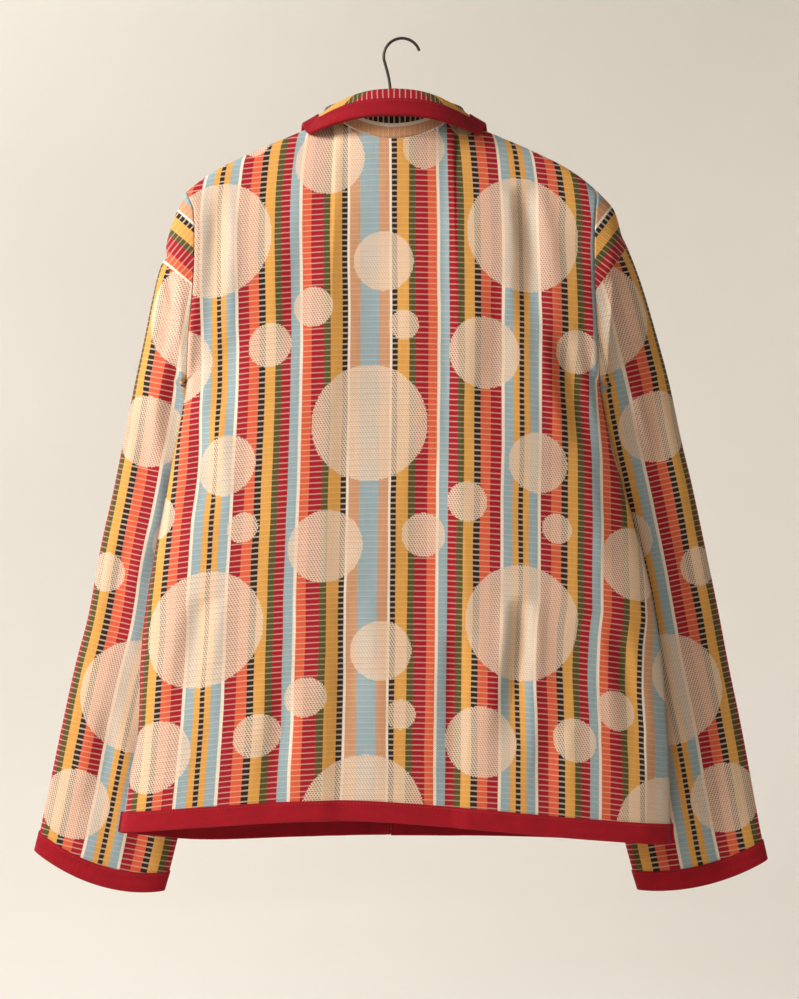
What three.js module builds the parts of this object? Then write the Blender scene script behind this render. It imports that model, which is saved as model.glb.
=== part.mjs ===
// Work jacket hanging from a wire hanger, in millimetres.
// +Z is up, +X runs to the right seen from behind, and +Y runs from the back to the fronts.
// The origin is the inner top of the hanger's hook, where the jacket is held.
import * as THREE from "three";

// Cloth, seams and binding
const WALL = 1.8;
const SEAM = 0.3;
const TAPE = 0.9;
const TAPE_WIDTH = 20;
const COLLAR_TAPE_WIDTH = 18;
const COLLAR_TAPE_GAP = 0.5;
const MITRE_LIMIT = 2.6;
const STEP = 0.004;
const SMALL = 1e-4;

// Hanger
const WIRE = 3;
const WIRE_SIDES = 8;
const HOOK_RADIUS = 18.5;
const HOOK_TIP = 18;
const HOOK_END = 200;
const HOOK_STEPS = 16;
const NECK_WIRE_X = -12;
const APEX_DROP = 62;
const ARM_BELOW = 8.2;
const BEND_RADIUS = 8;
const BEND_START = 115;
const BEND_END = 270;
const BEND_STEPS = 6;
const BEND_SHIFT = 2;
const ARM_REACHES = [0, 40, 80, 108, 124];
const TWIST_TURNS = 2;
const TWIST_STEPS = 10;
const TWIST_PITCH = 3.5;
const TWIST_RADIUS = 3.4;
const TWIST_LIFT = 1;

// Shoulders and neck
const CENTRE_X = -8;
const TIP_LEFT = -218;
const TIP_RIGHT = 198;
const TIP_DROP = 154;
const SHOULDER_DROP = 79.6;
const SHOULDER_SLOPE = 0.42;
const SHOULDER_BEND = 6;
const SHOULDER_EDGE = SEAM / 2;
const RIDGE = 3;
const RIDGE_FADE = 4;
const NECK_HALF = 62;
const NECK_BACK = 25;
const NECK_FRONT = 30;
const BACK_DIP = 24;
const FRONT_DIP = 72;
const DRAPE_HEIGHT = 225;
const RIDGE_BLEND = 12;
const FAN_POWER = 1.6;
const BACK_ROUND = 2.4;
const FRONT_ROUND = 2;
const SIDE_HOLD = 8;
const CAP_BLEND = 0.1;

// Armholes, down to a level of the panels that runs from 0 at the top to 1 at the hem
const UNDERARM_LEVEL = 0.295;
const ARMHOLE_DEPTH = 25;

// Front closing
const UNDER_TURN = 20;
const OVER_TURN = 10;
const OVERLAP_LIFT = 4.8;
const LIFT_START = -86;
const LIFT_END = -38;
const BUTTON_COUNT = 5;
const BUTTON_RADIUS = 10;
const BUTTON_THICK = 3;
const BUTTON_HOLE = 1.2;
const BUTTON_HOLE_OUT = 2.6;
const BUTTON_X = -12;
const BUTTON_SIDES = 24;
const BUTTON_HOLE_SIDES = 6;
const FIRST_BUTTON_DROP = 236;
const BUTTON_PITCH = 125;

// Body, a row per level: its edges, and the depth of the back and of the fronts
const bodyRows = [
  { drop: 100, left: -218, right: 198, back: 29, front: 27 },
  { drop: 154, left: -218, right: 198, back: 33, front: 26 },
  { drop: 172, left: -211, right: 196, back: 35, front: 25 },
  { drop: 200, left: -209, right: 194, back: 37, front: 25 },
  { drop: 250, left: -210, right: 194, back: 39, front: 25 },
  { drop: 300, left: -215, right: 197, back: 41, front: 26 },
  { drop: 350, left: -219, right: 201, back: 42, front: 27 },
  { drop: 410, left: -230, right: 213, back: 43, front: 28 },
  { drop: 480, left: -243, right: 233, back: 43, front: 29 },
  { drop: 550, left: -256, right: 251, back: 42, front: 29 },
  { drop: 620, left: -265, right: 263, back: 41, front: 30 },
  { drop: 700, left: -268, right: 270, back: 39, front: 30 },
  { drop: 750, left: -277, right: 272, back: 38, front: 31 },
  { drop: 820, left: -288, right: 273, back: 36, front: 32 },
];

// Hem, a row per place across: the drop of the back's and of the fronts' cut edge
const hemRows = [
  { x: -288, back: 804, front: 804 },
  { x: -206, back: 796, front: 813 },
  { x: -108, back: 789, front: 812 },
  { x: -35, back: 788.5, front: 811 },
  { x: 78, back: 797, front: 811 },
  { x: 159, back: 805, front: 812 },
  { x: 273, back: 816, front: 816 },
];

// Folds of the panels, a row each: top and foot of the trough, its half width and its depth
const backFolds = [
  { x: -190, drop: 196, footX: -193, footDrop: 292, wide: 11, deep: 5 },
  { x: -199, drop: 392, footX: -205, footDrop: 462, wide: 14, deep: 5 },
  { x: -206, drop: 600, footX: -220, footDrop: 690, wide: 15, deep: 4 },
  { x: 126, drop: 168, footX: 129, footDrop: 280, wide: 12, deep: 4 },
  { x: 168, drop: 300, footX: 200, footDrop: 395, wide: 13, deep: 6 },
  { x: 118, drop: 590, footX: 112, footDrop: 690, wide: 12, deep: 4 },
];
const frontFolds = [
  { x: -176, drop: 220, footX: -170, footDrop: 330, wide: 13, deep: 4 },
  { x: -150, drop: 520, footX: -168, footDrop: 650, wide: 15, deep: 4 },
  { x: 142, drop: 240, footX: 150, footDrop: 350, wide: 13, deep: 4 },
  { x: 150, drop: 560, footX: 162, footDrop: 700, wide: 15, deep: 4 },
];

// Sleeves, a row per ring: its outer and inner edge, how far forward it hangs, its half depth,
// and how far its back side hangs below its middle
const leftSleeveRows = [
  { part: 0, outerX: -218, outerDrop: 154, innerX: -218, innerDrop: 346, front: 0, half: 25, tilt: 0 },
  { part: 0.035, outerX: -231, outerDrop: 180, innerX: -224, innerDrop: 349, front: 4, half: 27, tilt: 0 },
  { part: 0.075, outerX: -240, outerDrop: 207, innerX: -228, innerDrop: 352, front: 11, half: 29, tilt: 0 },
  { part: 0.1, outerX: -239, outerDrop: 217, innerX: -229, innerDrop: 356, front: 15, half: 27, tilt: 0 },
  { part: 0.125, outerX: -247, outerDrop: 229, innerX: -227, innerDrop: 362, front: 20, half: 30, tilt: 0 },
  { part: 0.18, outerX: -256, outerDrop: 261, innerX: -219, innerDrop: 375, front: 28, half: 29, tilt: 0 },
  { part: 0.25, outerX: -264, outerDrop: 298, innerX: -207, innerDrop: 394, front: 33, half: 28, tilt: 0 },
  { part: 0.34, outerX: -276, outerDrop: 352, innerX: -193, innerDrop: 418, front: 37, half: 26, tilt: 0 },
  { part: 0.43, outerX: -287, outerDrop: 405, innerX: -188, innerDrop: 447, front: 41, half: 25, tilt: 0 },
  { part: 0.52, outerX: -298, outerDrop: 458, innerX: -186, innerDrop: 487, front: 44, half: 24, tilt: 0 },
  { part: 0.61, outerX: -311, outerDrop: 515, innerX: -188, innerDrop: 539, front: 45, half: 23, tilt: 0 },
  { part: 0.71, outerX: -324, outerDrop: 586, innerX: -190, innerDrop: 616, front: 46, half: 21, tilt: 2 },
  { part: 0.79, outerX: -338, outerDrop: 640, innerX: -202, innerDrop: 676, front: 46, half: 20, tilt: 4.5 },
  { part: 0.87, outerX: -354, outerDrop: 713, innerX: -217, innerDrop: 756, front: 46, half: 18, tilt: 8 },
  { part: 0.965, outerX: -372, outerDrop: 800, innerX: -238, innerDrop: 842, front: 46, half: 16, tilt: 13 },
  { part: 1, outerX: -379, outerDrop: 829, innerX: -246, innerDrop: 870, front: 46, half: 15, tilt: 13 },
];
const rightSleeveRows = [
  { part: 0, outerX: 198, outerDrop: 154, innerX: 201, innerDrop: 346, front: 0, half: 25, tilt: 0 },
  { part: 0.035, outerX: 215, outerDrop: 172, innerX: 208, innerDrop: 352, front: 4, half: 27, tilt: 0 },
  { part: 0.075, outerX: 224, outerDrop: 198, innerX: 212, innerDrop: 355, front: 11, half: 29, tilt: 0 },
  { part: 0.1, outerX: 229, outerDrop: 207, innerX: 213, innerDrop: 359, front: 15, half: 27, tilt: 0 },
  { part: 0.125, outerX: 237, outerDrop: 225, innerX: 211, innerDrop: 365, front: 20, half: 30, tilt: 0 },
  { part: 0.18, outerX: 247, outerDrop: 250, innerX: 203, innerDrop: 378, front: 28, half: 29, tilt: 0 },
  { part: 0.25, outerX: 260, outerDrop: 292, innerX: 192, innerDrop: 397, front: 33, half: 28, tilt: 0 },
  { part: 0.34, outerX: 275, outerDrop: 346, innerX: 183, innerDrop: 418, front: 37, half: 26, tilt: 0 },
  { part: 0.43, outerX: 288, outerDrop: 405, innerX: 182, innerDrop: 447, front: 41, half: 25, tilt: 0 },
  { part: 0.52, outerX: 300, outerDrop: 454, innerX: 182, innerDrop: 487, front: 44, half: 24, tilt: 0 },
  { part: 0.61, outerX: 313, outerDrop: 515, innerX: 184, innerDrop: 539, front: 45, half: 23, tilt: 0 },
  { part: 0.71, outerX: 327, outerDrop: 582, innerX: 188, innerDrop: 616, front: 46, half: 21, tilt: 1.5 },
  { part: 0.79, outerX: 338, outerDrop: 640, innerX: 200, innerDrop: 676, front: 46, half: 20, tilt: 3.5 },
  { part: 0.87, outerX: 352, outerDrop: 708, innerX: 214, innerDrop: 756, front: 46, half: 18, tilt: 6 },
  { part: 0.965, outerX: 370, outerDrop: 806, innerX: 236, innerDrop: 842, front: 46, half: 16, tilt: 9 },
  { part: 1, outerX: 377, outerDrop: 838, innerX: 244, innerDrop: 869, front: 46, half: 15, tilt: 9 },
];

// Collar, a row per turn in degrees from the centre back: its roll's distance out from the neck
// edge and its drop, and the fall's edge by its half width, its place in depth and its drop
const collarRows = [
  { turn: 0, rollOut: 8, rollDrop: 54, edgeX: 0, edgeY: -44, edgeDrop: 82 },
  { turn: 20, rollOut: 8, rollDrop: 55.5, edgeX: 22, edgeY: -43, edgeDrop: 82.5 },
  { turn: 40, rollOut: 8, rollDrop: 60, edgeX: 45, edgeY: -38, edgeDrop: 85.5 },
  { turn: 60, rollOut: 8, rollDrop: 66, edgeX: 67, edgeY: -28, edgeDrop: 90.5 },
  { turn: 80, rollOut: 9, rollDrop: 68.5, edgeX: 87, edgeY: -11, edgeDrop: 95 },
  { turn: 90, rollOut: 9, rollDrop: 70, edgeX: 92, edgeY: -1, edgeDrop: 85.5 },
  { turn: 100, rollOut: 9, rollDrop: 73, edgeX: 94, edgeY: 11, edgeDrop: 97 },
  { turn: 110, rollOut: 9, rollDrop: 79, edgeX: 93, edgeY: 21, edgeDrop: 115 },
  { turn: 130, rollOut: 8, rollDrop: 98, edgeX: 84, edgeY: 28, edgeDrop: 158 },
  { turn: 150, rollOut: 7, rollDrop: 120, edgeX: 62, edgeY: 36, edgeDrop: 196 },
  { turn: 160, rollOut: 7, rollDrop: 131, edgeX: 48, edgeY: 39, edgeDrop: 212 },
];
const ROLL_RADIUS = 3.4;
const ROLL_START = 0.4;
const ROLL_END = 0.6;
const TAPE_START = 0.8;
const COLLAR_TURN = 160;
const COLLAR_LIFT = 0.4;

// Grids, as the places of their lines from 0 to 1
const shoulderSteps = [0, 0.16, 0.32, 0.48, 0.62, 0.75, 0.86, 0.94, 1];
const lowerLevels = [0.36, 0.43, 0.5, 0.57, 0.64, 0.71, 0.78, 0.845, 0.905, 0.955, 1];
const collarLines = [0, 0.2, 0.4, 0.44, 0.5, 0.56, 0.6, 0.8, 1];
const SLEEVE_SIDES = 20;
const NECK_TURN = 10;

const RED = 0xb01c2c;
const cloth = { color: 0xb98a62, roughness: 0.9, metalness: 0 };
const tape = { color: RED, roughness: 0.85, metalness: 0 };
const steel = { color: 0x2e2a27, roughness: 0.4, metalness: 0.9 };
const horn = { color: 0x3a2418, roughness: 0.35, metalness: 0 };

const vec = (x, y, z) => new THREE.Vector3(x, y, z);
const mix = THREE.MathUtils.lerp;
const clamp = THREE.MathUtils.clamp;

// Value of a table's column at a place, on a smooth curve through its rows
function read(rows, key, column, at) {
  const last = rows.length - 1;
  const place = clamp(at, rows[0][key], rows[last][key]);
  let i = 0;
  while (i < last - 1 && rows[i + 1][key] < place) i += 1;
  const slope = (k) => {
    const a = rows[Math.max(k - 1, 0)];
    const b = rows[Math.min(k + 1, last)];
    return (b[column] - a[column]) / (b[key] - a[key]);
  };
  const span = rows[i + 1][key] - rows[i][key];
  const t = (place - rows[i][key]) / span;
  const rise = rows[i + 1][column] - rows[i][column];
  const bend = (1 - t) * (slope(i) * span - rise) - t * (slope(i + 1) * span - rise);
  return rows[i][column] + rise * t + t * (1 - t) * bend;
}

// Depth that the folds take off a panel at a point
function foldDepth(folds, x, drop) {
  let total = 0;
  for (const fold of folds) {
    const t = (drop - fold.drop) / (fold.footDrop - fold.drop);
    if (t > 0 && t < 1) {
      const off = (x - mix(fold.x, fold.footX, t)) / fold.wide;
      total += fold.deep * Math.exp(-off * off) * Math.sin(Math.PI * t);
    }
  }
  return total;
}

// Neck edge: the turn in degrees is 0 at the centre back and 180 at the centre front
function neckPoint(turn) {
  const angle = THREE.MathUtils.degToRad(turn);
  const toBack = Math.cos(angle);
  const reach = toBack > 0 ? NECK_BACK : NECK_FRONT;
  const dip = toBack > 0 ? BACK_DIP : FRONT_DIP;
  const side = toBack > 0 ? 1 : -1;
  return vec(
    CENTRE_X + NECK_HALF * Math.sin(angle),
    -side * SHOULDER_EDGE - reach * toBack,
    -SHOULDER_DROP - dip * toBack * toBack,
  );
}

// Level way out of the neck at a turn
function neckOut(turn) {
  const angle = THREE.MathUtils.degToRad(turn);
  const reach = Math.cos(angle) > 0 ? NECK_BACK : NECK_FRONT;
  return vec(Math.sin(angle) / NECK_HALF, -Math.cos(angle) / reach, 0).normalize();
}

// How far the left front lies out over the right one
function overlapLift(x) {
  return OVERLAP_LIFT * THREE.MathUtils.smoothstep(x, LIFT_START, LIFT_END);
}

// Turn of the neck edge above a place x of the back or of a front
function neckTurn(facing, x) {
  const turn = THREE.MathUtils.radToDeg(Math.asin((x - CENTRE_X) / NECK_HALF));
  return facing < 0 ? turn : 180 - turn;
}

// Upper edge of a panel above a place x: facing is -1 for the back and 1 for the fronts
function topEdge(facing, x) {
  const off = x - CENTRE_X;
  if (Math.abs(off) < NECK_HALF) return neckPoint(neckTurn(facing, x));
  const out = Math.abs(off) - NECK_HALF;
  const span = Math.abs((off < 0 ? TIP_LEFT : TIP_RIGHT) - CENTRE_X) - NECK_HALF;
  const straight = SHOULDER_DROP + SHOULDER_SLOPE * out;
  const bend = (TIP_DROP - SHOULDER_DROP - SHOULDER_SLOPE * span) * (out / span) ** SHOULDER_BEND;
  return vec(x, facing * SHOULDER_EDGE, -straight - bend);
}

// Half depth of the armhole at a level, nothing below the underarm
function armholeDepth(level) {
  const t = clamp(level / UNDERARM_LEVEL, 0, 1);
  return ARMHOLE_DEPTH * Math.sqrt(Math.max(0, 1 - (2 * t - 1) ** 2));
}

// Point of a body panel below a place x of its upper edge, at a level from 0 to 1
function bodyPoint(facing, topX, level, lift = 0) {
  const column = facing < 0 ? "back" : "front";
  const folds = facing < 0 ? backFolds : frontFolds;
  const edge = topX < CENTRE_X ? "left" : "right";
  const tip = topX < CENTRE_X ? TIP_LEFT : TIP_RIGHT;
  const top = topEdge(facing, topX);
  const across = clamp((topX - CENTRE_X) / (tip - CENTRE_X), 0, 1);
  const fan = across ** FAN_POWER;
  const hemAtEdge = read(hemRows, "x", column, tip < CENTRE_X ? hemRows[0].x : hemRows.at(-1).x);
  const edgeDrop = mix(TIP_DROP, hemAtEdge, level);
  const x = topX + (read(bodyRows, "drop", edge, edgeDrop) - tip) * fan;
  const hemX = topX + (read(bodyRows, "drop", edge, hemAtEdge) - tip) * fan;
  const drop = mix(-top.z, read(hemRows, "x", column, hemX), level);
  const below = drop + top.z;
  const rise = 1 - (1 - clamp(below / DRAPE_HEIGHT, 0, 1)) ** 3;
  const seam = Math.max(armholeDepth(level), SEAM / 2);
  const round = facing < 0
    ? Math.sqrt(Math.max(0, 1 - across ** BACK_ROUND))
    : 1 - across ** FRONT_ROUND;
  const full = read(bodyRows, "drop", column, drop) - foldDepth(folds, x, drop);
  const atSide = across ** SIDE_HOLD;
  const start = mix(facing * top.y, seam, atSide);
  const onShoulder = clamp((Math.abs(topX - CENTRE_X) - NECK_HALF) / RIDGE_BLEND + 1, 0, 1);
  const ridge = RIDGE * onShoulder * (1 - atSide) * (1 - Math.exp(-below / RIDGE_FADE));
  return vec(x, facing * (mix(start, mix(seam, full, round), rise) + ridge) + lift, -drop);
}

// Point of a sleeve: turn in degrees from its outer edge round the back, part from 0 to 1 down
function sleevePoint(rows, turn, part) {
  const angle = THREE.MathUtils.degToRad(turn);
  const oval = (at) => {
    const outer = vec(read(rows, "part", "outerX", at), 0, -read(rows, "part", "outerDrop", at));
    const inner = vec(read(rows, "part", "innerX", at), 0, -read(rows, "part", "innerDrop", at));
    const point = outer.clone().lerp(inner, (1 - Math.cos(angle)) / 2);
    point.y = read(rows, "part", "front", at) - read(rows, "part", "half", at) * Math.sin(angle);
    point.z -= read(rows, "part", "tilt", at) * Math.sin(angle) * Math.abs(Math.sin(angle));
    return point;
  };
  const point = oval(part);
  const away = 1 - part / CAP_BLEND;
  if (away <= 0) return point;
  const tip = rows[0].outerX < CENTRE_X ? TIP_LEFT : TIP_RIGHT;
  const facing = Math.sin(angle) > 0 ? -1 : 1;
  const seam = bodyPoint(facing, tip, (UNDERARM_LEVEL * (1 - Math.cos(angle))) / 2);
  if (Math.abs(Math.sin(angle)) < SMALL) seam.y = 0;
  seam.x += Math.sign(tip) * SEAM;
  return point.add(seam.sub(oval(0)).multiplyScalar(away * away));
}

// Point of the collar's upper face: across from the stand's foot over the roll to the fall's edge
function collarPoint(turn, across) {
  const out = neckOut(turn);
  const foot = neckPoint(turn);
  if (foot.x < CENTRE_X && foot.y > 0) foot.y += overlapLift(foot.x);
  const at = (column) => read(collarRows, "turn", column, Math.abs(turn));
  const centre = foot.clone().addScaledVector(out, at("rollOut") - ROLL_RADIUS);
  centre.z = -at("rollDrop") - ROLL_RADIUS;
  const onRoll = (t) => {
    const angle = Math.PI * t;
    const point = centre.clone().addScaledVector(out, -ROLL_RADIUS * Math.cos(angle));
    point.z += ROLL_RADIUS * Math.sin(angle);
    return point;
  };
  if (across < ROLL_START) {
    foot.addScaledVector(out, -WALL).add(vec(0, 0, COLLAR_LIFT));
    return foot.lerp(onRoll(0), across / ROLL_START);
  }
  if (across <= ROLL_END) return onRoll((across - ROLL_START) / (ROLL_END - ROLL_START));
  const edge = vec(CENTRE_X + Math.sign(turn) * at("edgeX"), at("edgeY"), -at("edgeDrop"));
  const start = onRoll(1);
  const tapeStart = 1 - COLLAR_TAPE_WIDTH / start.distanceTo(edge);
  const t = across < TAPE_START
    ? (tapeStart * (across - ROLL_END)) / (TAPE_START - ROLL_END)
    : mix(tapeStart, 1, (across - TAPE_START) / (1 - TAPE_START));
  return start.lerp(edge, t);
}

// A closed solid between a surface and its copy moved in by the cloth's thickness.
// inward(i, j) gives, for a point on a seam, the axes that its move keeps clear of.
function sheet(surface, us, vs, options = {}) {
  const { closed = false, keep = () => [], side = 1, inside = null } = options;
  const points = us.map((u) => vs.map((v) => surface(u, v)));
  const moves = us.map((u, i) =>
    vs.map((v, j) => inside?.(u, v, i, j) ?? move(surface, u, v, us, vs, side, closed, keep(i, j))),
  );
  return solid(points, moves, closed);
}

// The move through the cloth at a point of a surface, mitred against the axes given
function move(surface, u, v, us, vs, side, closed, axes) {
  const low = (list) => list[0];
  const high = (list) => list.at(-1);
  const du = STEP * (high(us) - low(us));
  const dv = STEP * (high(vs) - low(vs));
  const ua = closed ? u - du : Math.max(u - du, low(us));
  const ub = closed ? u + du : Math.min(u + du, high(us));
  const va = Math.max(v - dv, low(vs));
  const vb = Math.min(v + dv, high(vs));
  const along = surface(ub, v).sub(surface(ua, v));
  const down = surface(u, vb).sub(surface(u, va));
  const normal = along.cross(down).normalize().multiplyScalar(side);
  const kept = normal.clone();
  for (const axis of axes) kept.addScaledVector(axis, -kept.dot(axis));
  const scale = 1 / Math.max(kept.lengthSq(), SMALL);
  const mitre = kept.multiplyScalar(scale);
  return mitre.clampLength(0, MITRE_LIMIT).multiplyScalar(-WALL);
}

// Triangles of a wall: its outer grid, its inner grid, and the edges between them
function solid(points, moves, closed) {
  const across = points.length;
  const along = points[0].length;
  const place = [];
  for (let i = 0; i < across; i += 1) {
    for (let j = 0; j < along; j += 1) {
      place.push(points[i][j], points[i][j].clone().add(moves[i][j]));
    }
  }
  const outer = (i, j) => 2 * ((i % across) * along + j);
  const inner = (i, j) => outer(i, j) + 1;
  const index = [];
  const quad = (a, b, c, d) => index.push(a, b, c, a, c, d);
  const spans = closed ? across : across - 1;
  for (let i = 0; i < spans; i += 1) {
    for (let j = 0; j < along - 1; j += 1) {
      quad(outer(i, j), outer(i, j + 1), outer(i + 1, j + 1), outer(i + 1, j));
      quad(inner(i, j), inner(i + 1, j), inner(i + 1, j + 1), inner(i, j + 1));
    }
    quad(outer(i, 0), outer(i + 1, 0), inner(i + 1, 0), inner(i, 0));
    const j = along - 1;
    quad(outer(i, j), inner(i, j), inner(i + 1, j), outer(i + 1, j));
  }
  if (!closed) {
    for (let j = 0; j < along - 1; j += 1) {
      quad(outer(0, j), inner(0, j), inner(0, j + 1), outer(0, j + 1));
      const i = across - 1;
      quad(outer(i, j), outer(i, j + 1), inner(i, j + 1), inner(i, j));
    }
  }
  return faced(place, index);
}

// A geometry from points and triangles, turned so that its faces point out
function faced(place, index) {
  let volume = 0;
  for (let k = 0; k < index.length; k += 3) {
    const [a, b, c] = [place[index[k]], place[index[k + 1]], place[index[k + 2]]];
    volume += a.dot(b.clone().cross(c));
  }
  if (volume < 0) index.reverse();
  const geometry = new THREE.BufferGeometry().setFromPoints(place);
  geometry.setIndex(index);
  geometry.computeVertexNormals();
  return geometry;
}

// Binding folded round an edge of cloth: frames give the edge's point, the way out of the
// cloth in its own plane, and the mitred way out of its face, there and under the inner ends
function binding(frames, width, closed = false, near = SEAM) {
  const far = near + TAPE;
  const section = [
    [-width, near],
    [-width, far],
    [far, far],
    [far, -WALL - far],
    [-width, -WALL - far],
    [-width, -WALL - near],
    [near, -WALL - near],
    [near, near],
  ];
  const place = [];
  for (const { edge, out, face, innerFace } of frames) {
    for (const [a, b] of section) {
      const way = a < 0 ? innerFace : face;
      place.push(edge.clone().addScaledVector(out, a).addScaledVector(way, b));
    }
  }
  const sides = section.length;
  const count = frames.length;
  const index = [];
  const spans = closed ? count : count - 1;
  for (let i = 0; i < spans; i += 1) {
    const here = i * sides;
    const next = ((i + 1) % count) * sides;
    for (let k = 0; k < sides; k += 1) {
      const l = (k + 1) % sides;
      const [a, b, c, d] = [here + k, next + k, next + l, here + l];
      if (section[l][0] < section[k][0]) index.push(a, b, d, b, c, d);
      else index.push(a, b, c, a, c, d);
    }
  }
  if (!closed) {
    const ring = section.map(([a, b]) => new THREE.Vector2(a, b));
    const back = (count - 1) * sides;
    for (const [a, b, c] of THREE.ShapeUtils.triangulateShape(ring, [])) {
      index.push(c, b, a);
      index.push(back + a, back + b, back + c);
    }
  }
  return faced(place, index);
}

// Frames along the low edge of a sheet, for its binding
function lowEdge(surface, width, places, us, vs, side, closed, keep) {
  const last = vs.length - 1;
  return places.map((u) => {
    const edge = surface(u, vs[last]);
    const out = edge.clone().sub(surface(u, vs[last - 1])).normalize();
    const faceAt = (j) => move(surface, u, vs[j], us, vs, side, closed, keep(us.indexOf(u), j));
    const part = width / edge.distanceTo(surface(u, vs[last - 1]));
    const face = faceAt(last).multiplyScalar(-1 / WALL);
    const innerFace = face.clone().lerp(faceAt(last - 1).multiplyScalar(-1 / WALL), part);
    return { edge, out, face, innerFace };
  });
}

function mesh(name, geometry, look) {
  const item = new THREE.Mesh(geometry, new THREE.MeshStandardMaterial(look));
  item.name = name;
  return item;
}

// Lines down a panel, as places x on its upper edge
const shoulderLeft = shoulderSteps.map((t) => mix(CENTRE_X - NECK_HALF, TIP_LEFT, t)).reverse();
const shoulderRight = shoulderSteps.map((t) => mix(CENTRE_X + NECK_HALF, TIP_RIGHT, t));
const neckX = (turn) => CENTRE_X + NECK_HALF * Math.sin(THREE.MathUtils.degToRad(turn));
function neckLines(from, to) {
  const lines = [];
  for (let turn = from; turn <= to; turn += NECK_TURN) lines.push(neckX(turn));
  return lines;
}

// Levels of a panel: down the armhole they meet the sleeve's lines, then down to the hem
const armholeLevels = Array.from({ length: SLEEVE_SIDES / 2 + 1 }, (_, k) => {
  const angle = (2 * Math.PI * k) / SLEEVE_SIDES;
  return (UNDERARM_LEVEL * (1 - Math.cos(angle))) / 2;
});
const levels = [...armholeLevels, ...lowerLevels];

// Seams of a panel: sides and shoulders meet in the plane y = 0, armholes in a plane x = const
const ACROSS = vec(1, 0, 0);
const DEEP = vec(0, 1, 0);
function panelSeams(columns) {
  return (i, j) => {
    const axes = [];
    const atTip = columns[i] === TIP_LEFT || columns[i] === TIP_RIGHT;
    const atNeck = Math.abs(columns[i] - CENTRE_X) < NECK_HALF - STEP;
    if (atTip && j < armholeLevels.length - 1) axes.push(ACROSS);
    if (atTip && j >= armholeLevels.length - 1) axes.push(DEEP);
    if (j === 0 && !atNeck) axes.push(DEEP);
    return axes;
  };
}

// A panel's neck edge is cut level, so that the collar stands square on it, and its corner
// under the arm is cut straight in
function panelCuts(facing, columns) {
  return (u, v, i, j) => {
    const atNeck = Math.abs(columns[i] - CENTRE_X) < NECK_HALF - STEP;
    if (j === 0 && atNeck) return neckOut(neckTurn(facing, u)).multiplyScalar(-WALL);
    const atUnderarm = (u === TIP_LEFT || u === TIP_RIGHT) && j === armholeLevels.length - 1;
    return atUnderarm ? vec(-Math.sign(u) * MITRE_LIMIT, 0, 0) : null;
  };
}

// Evenly spaced values from one to another, and the corners of an even polygon
function spread(from, to, steps) {
  return Array.from({ length: steps + 1 }, (_, k) => mix(from, to, k / steps));
}
function ringOf(radius, sides) {
  const angles = spread(0, 2 * Math.PI, sides).slice(1);
  return angles.map((a) => new THREE.Vector2(radius * Math.cos(a), radius * Math.sin(a)));
}

const jacket = new THREE.Group();

function addPanel(name, tapeName, facing, columns, lift, tapeColumns) {
  const surface = (x, level) => bodyPoint(facing, x, level, lift(x));
  const keep = panelSeams(columns);
  const inside = panelCuts(facing, columns);
  jacket.add(mesh(name, sheet(surface, columns, levels, { keep, inside, side: facing }), cloth));
  const frames = lowEdge(surface, TAPE_WIDTH, tapeColumns, columns, levels, facing, false, keep);
  jacket.add(mesh(tapeName, binding(frames, TAPE_WIDTH), tape));
  return surface;
}

// Binding up a front's free edge
function addEdgeTape(name, surface, columns, last) {
  const i = last ? columns.length - 1 : 0;
  const beside = last ? i - 1 : 1;
  const frames = levels.map((level) => {
    const edge = surface(columns[i], level);
    const out = edge.clone().sub(surface(columns[beside], level)).normalize();
    const faceAt = (k) => move(surface, columns[k], level, columns, levels, 1, false, []);
    const part = TAPE_WIDTH / edge.distanceTo(surface(columns[beside], level));
    const face = faceAt(i).multiplyScalar(-1 / WALL);
    const innerFace = face.clone().lerp(faceAt(beside).multiplyScalar(-1 / WALL), part);
    return { edge, out, face, innerFace };
  });
  jacket.add(mesh(name, binding(frames, TAPE_WIDTH), tape));
}

const noLift = () => 0;
const backColumns = [...shoulderLeft, ...neckLines(-80, 80), ...shoulderRight];
addPanel("back", "hem_tape_back", -1, backColumns, noLift, backColumns);

const leftColumns = [...shoulderLeft, ...neckLines(-80, -OVER_TURN), neckX(OVER_TURN)];
const leftFront = addPanel(
  "front_left", "hem_tape_left", 1, leftColumns, overlapLift, leftColumns.slice(0, -1),
);
addEdgeTape("edge_tape_left", leftFront, leftColumns, true);

const rightColumns = [neckX(-UNDER_TURN), neckX(0), ...neckLines(10, 80), ...shoulderRight];
const rightFront = addPanel(
  "front_right", "hem_tape_right", 1, rightColumns, noLift, rightColumns.slice(1),
);
addEdgeTape("edge_tape_right", rightFront, rightColumns, false);

// Sleeves and their cuffs' binding
const turns = Array.from({ length: SLEEVE_SIDES }, (_, k) => (360 * k) / SLEEVE_SIDES);
function addSleeve(side, rows, facing) {
  const surface = (turn, part) => sleevePoint(rows, turn, part);
  const parts = rows.map((row) => row.part);
  const keep = (i, j) => (j === 0 ? [ACROSS] : []);
  const options = { closed: true, side: facing, keep };
  jacket.add(mesh(`sleeve_${side}`, sheet(surface, turns, parts, options), cloth));
  const frames = lowEdge(surface, TAPE_WIDTH, turns, turns, parts, facing, true, keep);
  jacket.add(mesh(`cuff_tape_${side}`, binding(frames, TAPE_WIDTH, true), tape));
}
addSleeve("left", leftSleeveRows, -1);
addSleeve("right", rightSleeveRows, 1);

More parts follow.
